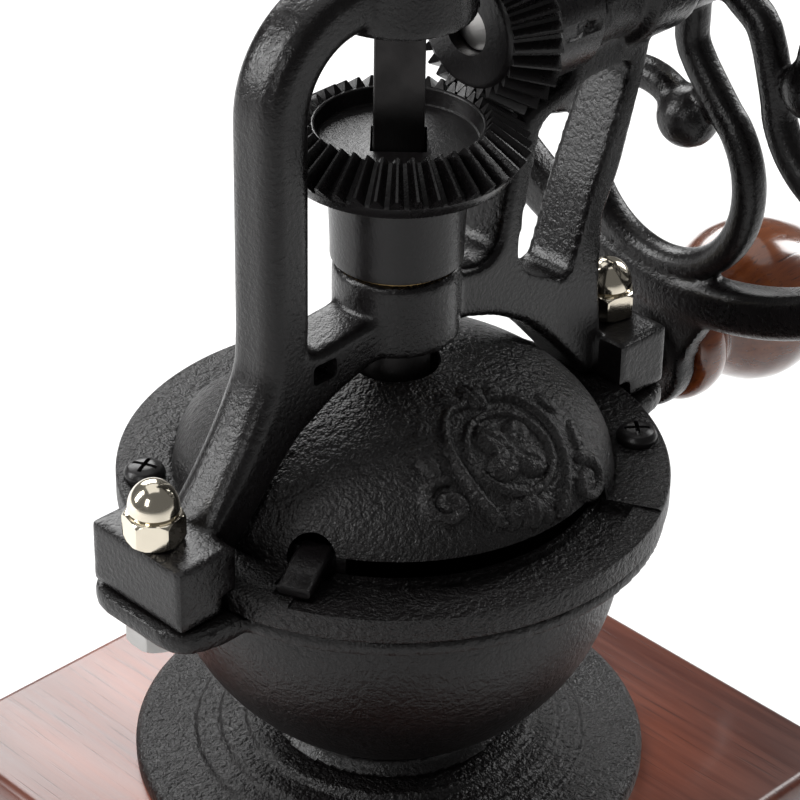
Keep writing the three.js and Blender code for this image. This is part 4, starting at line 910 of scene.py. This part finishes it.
def scroll(middle, side):
    """One C-scroll about the wheel's axis: a spoke, a ring that curls in, and a ball at its end."""
    def ring_point(turn, radius):
        out = SCROLL_OUT - radius * math.cos(math.radians(turn))
        across = radius * math.sin(math.radians(turn))
        return polar(math.hypot(out, across), middle - side * math.degrees(math.atan2(across, out)))
    spoke = [polar(far, middle - side * lean) for far, lean in ((8, 7), (16, 7), (23, 8))]
    ring = [ring_point(34 + 12 * i, SCROLL_R) for i in range(23)]
    curl = [ring_point(t, SCROLL_R - d) for t, d in ((308, 0), (326, 2), (343, 4), (360, 6.4), (378, 8.7))]
    line = smooth_line([(*p, 1) for p in spoke + ring + curl], 3)
    arm = swept("arm", line, bar_section(3.3, 3.5, 3.0, 5), level(0))
    half_turn = np.linspace(-math.pi / 2, math.pi / 2, 17)
    ball = turned("ball", [(BALL_R * math.cos(t), BALL_R * math.sin(t)) for t in half_turn], 0, 32)
    return [arm, moved(ball, shift(*curl[-1], 0))]


PAIR_AT = 241
pair = joined("scroll_pair", [piece for side in (-1, 1) for piece in scroll(PAIR_AT + side * 33.2, side)])
pairs = ringed("scroll_pairs", pair, 3, 0, satin_enamel)
rim_profile = [(72.5, -4.5), (82.5, -4.5), (82.5, 4.5), (72.5, 4.5)]
rim_ring = turned("rim", rim_profile, 3.2, 220, 5)
hub = turned("hub", [(0, -12), (13, -12), (13, 7.5), (0, 7.5)], 1.2)
lug_x, lug_y = KNOB_AT - (0, AXIS_Z)
lug = moved(turned("lug", [(0, -4.5), (11.5, -4.5), (11.5, 1.5), (0, 1.5)], 1.2), shift(lug_x, lug_y, 0))
lug_angle = math.degrees(math.atan2(lug_y, lug_x))
out_x, out_y = polar(1, lug_angle)
side_x, side_y = polar(1, lug_angle + 90)
half_web = [(76.5, 16), (82, 15.2), (87, 12.6), (93.5, 11)]
web = [(out_x * far + side_x * half, out_y * far + side_y * half)
       for far, half in half_web + [(far, -half) for far, half in half_web[::-1]]]
web_plate = plate_of("lug_web", web, 2.4, level(-1.5), 0)
wheel_flat = melted("wheel_cast", [pairs, rim_ring, hub, lug, web_plate], 0.85, 4)
carved(wheel_flat, joined("wheel_bores", [rod(5.1, -14, 10), moved(rod(3.1, -8, 8), shift(lug_x, lug_y, 0))]))
TO_WHEEL = Matrix(((0, 0, 1, WHEEL_X * MM), (1, 0, 0, 0), (0, 1, 0, AXIS_Z * MM), (0, 0, 0, 1)))
finish_piece(moved(wheel_flat, TO_WHEEL), "flywheel_cast", "flywheel", satin_enamel)


# %% [markdown]
# ## Bevel gears
# A gear is a blank with one tooth repeated. The tooth is a small solid that narrows towards the cone's point,
# with eased tip edges, and the same Geometry Nodes tree sets forty and thirty of them round two blanks.


# %% Gears
MODULE, FACE, DEDENDUM = 1.17, 0.3, 1.25
PITCH = math.atan2(40, 30)
CONE = MODULE * math.hypot(40, 30) / 2


def on_cone(angle, share, height):
    along, over = CONE * share, height * MODULE * share
    sine, cosine = math.sin(angle), math.cos(angle)
    return (along * sine + over * cosine, along * cosine - over * sine)


def tooth(angle):
    """One tooth whose cone opens along +Z, sunk a little into the blank."""
    wide = 0.42 * math.pi / 2
    slope = math.tan(math.radians(20))
    points = []
    for share in (1 - FACE, 1):
        flank = [(-1.6, wide + 1.25 * slope), (-1.25, wide + 1.25 * slope), (0, wide),
                 (0.82, wide - 0.85 * slope), (1, wide - 1.25 * slope)]
        levels = [(*on_cone(angle, share, h), w * MODULE * share) for h, w in flank]
        points += [(r, -w, z) for r, z, w in levels] + [(r, w, z) for r, z, w in levels[::-1]]
    size = len(points) // 2
    faces = [(i, (i + 1) % size, size + (i + 1) % size, size + i) for i in range(size)]
    faces += [tuple(range(size)), tuple(range(size, 2 * size))]
    return mesh_object("tooth", points, faces)


def gear(name, count, angle, first, blank, bores, to_world, node):
    teeth = ringed(name + "_teeth", tooth(angle), count, 0, gear_enamel)
    moved(teeth, spin(first))
    body = turned(name + "_blank", blank, 0.7, 160)
    for bore in bores:
        carved(body, bore)
    return finish_piece(moved(joined(name, [body, teeth]), to_world), name, node, gear_enamel, 28)


inner, outer = on_cone(PITCH, 0.7, -DEDENDUM), on_cone(PITCH, 1, -DEDENDUM)
foot, back = 40.0, outer[1] + 3
lower_blank = [
    (0, inner[1] + 3.4), (inner[0] - 1.0, inner[1] + 3.4), (inner[0] - 0.6, inner[1] + 0.2), inner, outer,
    (outer[0] - 1.6, back), (14.2, back + 0.7), (12.9, back + 2.6), (12.4, foot - 3), (12.4, foot), (0, foot),
]
square = [(-5.1, -5.1), (5.1, -5.1), (5.1, 5.1), (-5.1, 5.1)]
bore = moved(plate_of("square_bore", square, 30, level(25), 0), spin(-45))
DOWN = shift(0, 0, AXIS_Z) @ Matrix.Rotation(math.pi, 4, "X")
gear("lower_gear_cast", 40, PITCH, 0, lower_blank, [bore], DOWN, "lower_gear")

small = math.pi / 2 - PITCH
inner, outer = on_cone(small, 0.7, -DEDENDUM), on_cone(small, 1, -DEDENDUM)
front = inner[1] - 0.5
upper_blank = [
    (0, front), (inner[0] - 0.8, front), inner, outer, (outer[0] - 1.2, outer[1] + 1.6),
    (14.5, outer[1] + 2.2), (14.5, 38.5), (0, 38.5),
]
sight = moved(rod(1.3, front - 1, front + 2.5, 24), shift(*polar(6.4, 200), 0))
pin_hole = moved(rod(1.6, -30, 30, 24), shift(0, 0, PIN_X) @ ALONG_FRONT)
bores = [rod(5.1, 10, 50), sight, pin_hole]
gear("upper_gear_cast", 30, small, 6, upper_blank, bores, ALONG_SHAFT, "upper_gear")


# %% [markdown]
# ## Nuts, bolts and screws
# A nut is a hexagon with its corners turned off. On a polar grid that is one rule: the radius at an angle is
# the smaller of the hexagon's and the chamfer's. The domed nuts carry a turned cap on top.


# %% Hexagon nuts
def hex_radius(flats, angle):
    return flats / 2 / math.cos((angle + math.pi / 6) % (math.pi / 3) - math.pi / 6)


def hex_nut(name, flats, bore, low, high, chamfer=0.9):
    """A dressed hexagon nut on the Z axis."""
    sides = 144
    corner = flats / math.sqrt(3)
    lower, upper = np.linspace(low + 0.3, low + chamfer, 4), np.linspace(high - chamfer, high - 0.3, 4)
    heights = [low, low + 0.15, *lower, *upper, high - 0.15, high]
    angles = np.linspace(0, 2 * math.pi, sides, endpoint=False)
    rows = [[(bore, low)] * sides]
    for z in heights:
        near = min(z - low, high - z)
        limit = flats / 2 - 0.15 + (corner - flats / 2 + 0.15) * min(1, near / chamfer) ** 0.6
        rows.append([(min(hex_radius(flats, a), limit), z) for a in angles])
    rows.append([(bore, high)] * sides)
    points = [(r * math.cos(a), r * math.sin(a), z) for row in rows for (r, z), a in zip(row, angles)]
    return mesh_object(name, points, grid_faces(len(rows), sides))


def cap_nut(side):
    low = span("cap_nut_left", Z)[0]
    nut = hex_nut("cap_hex", 10, 3.1, low, low + 5.5, 0.8)
    dome = [(4.75 * math.cos(t), low + 6.6 + 5.4 * math.sin(t)) for t in np.linspace(0, math.pi / 2, 18)]
    dome[-1] = (0, dome[-1][1])
    foot = [(3.1, low + 5), (4.3, low + 5), (4.3, low + 5.7), (4.75, low + 6.3)]
    cap = turned("cap", [*foot, *dome, (0, low + 9), (3.1, low + 9)], 0, 72)
    return moved(joined("cap_nut", [nut, cap]), shift(side * BOLT_X, 0, 0) @ spin(14 * side))


for name, side in (("left", -1), ("right", 1)):
    finish_piece(cap_nut(side), f"domed_nut_{name}", f"cap_nut_{name}", nickel, 24)
    low, high = span(f"clamp_bolt_{name}", Z)
    head = hex_nut("head", 10, 0.01, low, low + 4, 0.7)
    shank = turned("shank", [(0, low + 3), (3, low + 3), (3, high), (0, high)], 0.4, 48)
    bolt = moved(joined("bolt", [head, shank]), shift(side * BOLT_X, 0, 0))
    finish_piece(bolt, f"clamp_bolt_{name}_steel", f"clamp_bolt_{name}", steel, 24)

UPRIGHT = Matrix.Identity(4)
for node, axis, flats, bore_r, place, finish, metal_name in (
    ("lock_nut", Z, 13, 4.1, UPRIGHT, nickel, "nickel"),
    ("wheel_nut", X, 13, 4.1, ALONG_SHAFT, nickel, "nickel"),
    ("burr_nut", Z, 13, 4.1, UPRIGHT, steel, "steel"),
    ("handle_nut", X, 10, 3.1, TO_LUG, steel, "steel"),
):
    nut = moved(hex_nut(node, flats, bore_r, *span(node, axis)), place)
    finish_piece(nut, f"{node}_{metal_name}", node, finish, 24)


# %% Lid screws
def pan_screw(turn):
    low = span("lid_screw_1", Z)[0]
    shank = [(0, low), (1.8, low), (2, low + 0.4)]
    head = [(2, 0.05), (4, 0.05), (4, 1.2), (3.3, 2.2), (2, 2.7), (0, 2.8)]
    screw = turned("screw", shank + [(r, LID_TOP + z) for r, z in head], 0.35, 64)
    for angle in (0, 90):
        bar = [(-2.5, -0.42), (2.5, -0.42), (2.5, 0.42), (-2.5, 0.42)]
        slot = plate_of("cross", bar, 1.2, level(LID_TOP + 2.5), 0)
        carved(screw, moved(slot, spin(turn + angle)))
    return screw


for number in (1, 2):
    node = f"lid_screw_{number}"
    x, y, _ = sum(box(node)) / 2
    finish_piece(moved(pan_screw(25 * number), shift(x, y, 0)), node + "_black", node, gear_enamel, 30)

# %% [markdown]
# ## Spindle, bushes and shaft
# These are turned on a lathe, so a profile is enough. The spindle's middle is a square bar with small
# chamfers, which the gear slides on.

# %% Spindle and adjusting wheel
low, high = span("spindle", Z)
square_low, square_high, top = LID_TOP + 43.7, LID_TOP + 90, LID_TOP + 116
shoulder = burr_high + 0.1
stem_profile = [(0, low), (4, low), (4, shoulder), (6.6, shoulder), (6.6, square_low), (0, square_low)]
stem = turned("stem", stem_profile, 0.5)
half = 4.6
shank_outline = rounded([(-half, -half), (half, -half), (half, half), (-half, half)], 0.7, 3)
shank_middle = level((square_high + square_low - 1) / 2)
shank = plate_of("shank", shank_outline, (square_high - square_low + 1) / 2, shank_middle, 0)
moved(shank, spin(45))
thread = [(0, square_high - 1), (4.5, square_high - 1), (4.5, top - 1)]
for ridge_z in np.arange(top - 0.2, high - 0.9, 1.25):
    thread += [(4.0, ridge_z), (3.35, ridge_z + 0.62)]
thread += [(3.0, high), (0, high)]
spindle = joined("spindle", [stem, shank, turned("thread", thread, 0.1, 64, 2)])
finish_piece(spindle, "spindle_steel", "spindle", black_steel, 28)

low, high = span("adjusting_nut", Z)
wheel_profile = [(4.1, low), (10.6, low), (11.3, low + 0.8), (11.3, high - 0.8), (10.6, high), (4.1, high)]
thumb = turned("thumb", wheel_profile, 0.4, 120)
flute = rod(1.8, low - 1, high + 1, 24)
carved(thumb, ringed("flutes", flute, 12, 12.2, gear_enamel))
finish_piece(thumb, "adjusting_nut_black", "adjusting_nut", gear_enamel, 30)


# %% Turned small parts
def tube(node, suffix, axis, inner, outer, material, edge, place):
    """A plain ring that stands for a node, between the node's own ends."""
    low, high = span(node, axis)
    profile = [(inner, low), (outer, low), (outer, high), (inner, high)]
    finish_piece(moved(turned(node, profile, edge), place), node + suffix, node, material)


tube("lower_bush", "_turned", Z, 6.85, 9.4, bronze, 0.25, UPRIGHT)
tube("upper_bush", "_turned", Z, 4.75, 7.4, bronze, 0.25, UPRIGHT)
tube("thrust_washer", "_turned", Z, 6.85, 11, bronze, 0.25, UPRIGHT)
tube("drive_bush", "_turned", X, 5.25, 8, bronze, 0.3, ALONG_SHAFT)
tube("wheel_washer", "_steel", X, 4.1, 9, steel, 0.2, ALONG_SHAFT)
low, high = span("drive_shaft", X)
shaft = turned("shaft", [(0, low), (5, low), (5, 86.5), (4, 86.5), (4, high), (0, high)], 0.6)
carved(shaft, moved(rod(1.6, -30, 30, 24), shift(0, 0, PIN_X) @ ALONG_FRONT))
finish_piece(moved(shaft, ALONG_SHAFT), "drive_shaft_steel", "drive_shaft", steel)
pin = turned("pin", [(0, -14.2), (1.5, -14.2), (1.5, 14.2), (0, 14.2)], 0.35, 48)
finish_piece(moved(pin, ALONG_SHAFT @ shift(0, 0, PIN_X) @ ALONG_FRONT), "gear_pin_steel", "gear_pin", steel)

# %% [markdown]
# ## Crank knob
# The knob is turned wood: a bead by the wheel, a narrow neck with a ring, then a full bulge that tapers to
# the end. All of its character is in the profile, so the profile has many points and rounded corners.

# %% Knob and its bolt
start = span("crank_knob", X)[0]
bead = [(3.25, 0), (11, 0), (12.9, 1.5), (13.4, 4.6), (12.7, 7.8), (10.6, 9.0), (9.7, 9.3)]
neck_ring = [(10.3, 10.0), (10.3, 11.2), (9.5, 12.0), (9.6, 13.2)]
bulge = [(11.2, 15.4), (13.9, 18.6), (16.2, 22.4), (17.4, 26.2), (17.6, 29.4), (17.2, 33), (16.1, 37),
         (14.3, 41), (12.2, 44.8), (10.4, 48), (9.4, 50.2), (8.6, 51.6), (7.8, 52)]
screw_sink = [(5.85, 52), (5.85, 48), (3.25, 48)]
knob_profile = bead + neck_ring + bulge + screw_sink
knob_line = [(r, start + x) for r, x in knob_profile]
knob = moved(turned("knob", knob_line, 1.6, 128, 4), TO_LUG)
finish_piece(knob, "crank_knob_turned", "crank_knob", honey_knob, 50)
low, high = span("handle_bolt", X)
head = [(3, high - 3.4), (5.5, high - 3.4), (5.5, high - 1), (4.6, high), (0, high)]
bolt = turned("bolt", [(0, low), (3, low), *head], 0.4)
carved(bolt, plate_of("slot", [(-7, -0.6), (7, -0.6), (7, 0.6), (-7, 0.6)], 1.2, level(high), 0))
finish_piece(moved(bolt, TO_LUG), "handle_bolt_steel", "handle_bolt", steel)


# %% [markdown]
# ## Box and drawer
# The boards are plain, with softly rounded edges, so each is a bevelled block the size of its CAD node. The
# top board has the widest rounding. Openings are cut where the grounds fall and where the drawer slides.


# %% Boards
def board(node, material, edge=1.2, holes=()):
    low, high = box(node)
    outline = [(low[0], low[1]), (high[0], low[1]), (high[0], high[1]), (low[0], high[1])]
    middle = (low[2] + high[2]) / 2
    made = plate_of(node, outline, (high[2] - low[2]) / 2, level(middle), edge)
    for hole in holes:
        carved(made, hole)
    return finish_piece(made, node + "_board", node, material, 35)


board("box_top_board", lacquered_wood, 2.2, [rod(17, 70, 100, 64)])
board("box_plinth", wall_wood, 1.8)
for side in ("back", "left", "right"):
    board(f"box_{side}_wall", wall_wood, 0.6)
mouth_low, mouth_high = span("drawer_floor", Z)[0] - 0.5, span("drawer_left_side", Z)[1] + 1
mouth = [(-42.5, mouth_low), (42.5, mouth_low), (42.5, mouth_high), (-42.5, mouth_high)]
board("box_front_wall", wall_wood, 0.6, [plate_of("mouth", mouth, 90, lambda p, q, d: (p, d, q), 0)])
for part in ("left_side", "right_side", "back", "floor", "runner_left", "runner_right"):
    board("drawer_" + part, pale_wood, 0.5)
front_low, front_high = box("drawer_front")
knob_z = (front_low[2] + front_high[2]) / 2
front_hole = moved(rod(2.25, -10, 40, 32), shift(0, front_high[1] + 10, knob_z) @ ALONG_FRONT)
board("drawer_front", dark_wood, 1.6, [front_hole])
board("base_pad", felt, 0.3)

# %% Drawer pull
pull_profile = [
    (0, 12), (2.2, 12), (2.2, 0.1), (6.5, 0.1), (6.6, 1.4), (4.4, 2.8), (4.1, 4.6), (4.7, 7), (7.9, 10.6),
    (9, 13.6), (8.3, 16.8), (5.4, 19.2), (2.4, 20), (0, 20.2),
]
pull = moved(turned("pull", pull_profile, 0.9, 96), shift(0, front_low[1], knob_z) @ ALONG_FRONT)
finish_piece(pull, "drawer_knob_turned", "drawer_knob", bronze, 50)

# %% [markdown]
# ## Pieces that keep their CAD shape
# The burrs and a few hidden screws are already right, so each keeps its mesh and gets a metal.

# %% Kept nodes
for node in ("outer_burr", "inner_burr", "drawer_knob_screw", "base_screw_1", "base_screw_2", "base_screw_3"):
    mesh = frame["nodes"][node].data
    mesh.materials.clear()
    mesh.materials.append(steel)
replaced = {name for made in made_pieces for name in made["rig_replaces"]}
print("still plain:", sorted(set(frame["nodes"]) - replaced))

# %% [markdown]
# ## Floor, light and camera
# The mill stands on a pale floor under soft light. A broad light behind whitens the lacquer and the cast tops
# that face up, a tall one on the left draws the long highlights on the post and the lid's rim, and one on the
# right opens the bearing side. The sky is a dim white, so that black enamel stays black.


# %% Stage
floor_mesh = bpy.data.meshes.new("floor")
floor_mesh.from_pydata([(-6, -6, 0), (6, -6, 0), (6, 6, 0), (-6, 6, 0)], [], [(0, 1, 2, 3)])
floor = bpy.data.objects.new("floor", floor_mesh)
bpy.context.scene.collection.objects.link(floor)
paper = Finish("paper")
paper_tone = paper.blend(paper.noise(40), (0.93, 0.93, 0.93), (0.96, 0.96, 0.96))
floor_mesh.materials.append(paper.finish(Base_Color=paper_tone, Roughness=0.9))
world = bpy.data.worlds.new("sky")
bpy.context.scene.world = world
world.use_nodes = True
sky = world.node_tree.nodes["Background"].inputs
sky["Color"].default_value = (1, 1, 1, 1)
sky["Strength"].default_value = 0.14


def softbox(name, place, target, size, power):
    data = bpy.data.lights.new(name, "AREA")
    data.shape = "RECTANGLE"
    data.size, data.size_y = size
    data.energy = power
    lamp = bpy.data.objects.new(name, data)
    lamp.location = place
    lamp.rotation_euler = (Vector(target) - Vector(place)).to_track_quat("-Z", "Y").to_euler()
    bpy.context.scene.collection.objects.link(lamp)


softbox("back", (0.55, 1.13, 0.92), (0, 0, 0.1), (0.95, 0.75), 16)
softbox("back_left", (-0.85, 0.75, 0.80), (0, 0, 0.17), (0.3, 0.9), 13)
softbox("front_left", (-1.2, -0.35, 0.9), (0, 0, 0.15), (0.35, 0.6), 3.5)
softbox("above", (0.1, 0.2, 1.5), (0, 0, 0.1), (1.2, 1.2), 4)
softbox("right", (1.0, -0.05, 0.65), (0, 0, 0.18), (0.3, 0.7), 6)
bpy.context.scene.view_settings.view_transform = "Standard"

# %% Camera
AZIMUTH, ELEVATION, ROLL = (math.radians(a) for a in (-44.78, 31.68, -0.99))
right = Vector((math.cos(AZIMUTH), math.sin(AZIMUTH), 0))
flat = math.cos(ELEVATION)
back = Vector((math.sin(AZIMUTH) * flat, -math.cos(AZIMUTH) * flat, math.sin(ELEVATION)))
up = back.cross(right)
turned_right = math.cos(ROLL) * right - math.sin(ROLL) * up
turned_up = math.sin(ROLL) * right + math.cos(ROLL) * up
data = bpy.data.cameras.new("camera")
data.lens = 139.6
data.sensor_width = 36
data.clip_end = 20
camera = bpy.data.objects.new("camera", data)
turn = Matrix((turned_right, turned_up, back)).transposed().to_4x4()
camera.matrix_world = shift(-350.7, -354.9, 478.8) @ turn
bpy.context.scene.collection.objects.link(camera)
bpy.context.scene.camera = camera
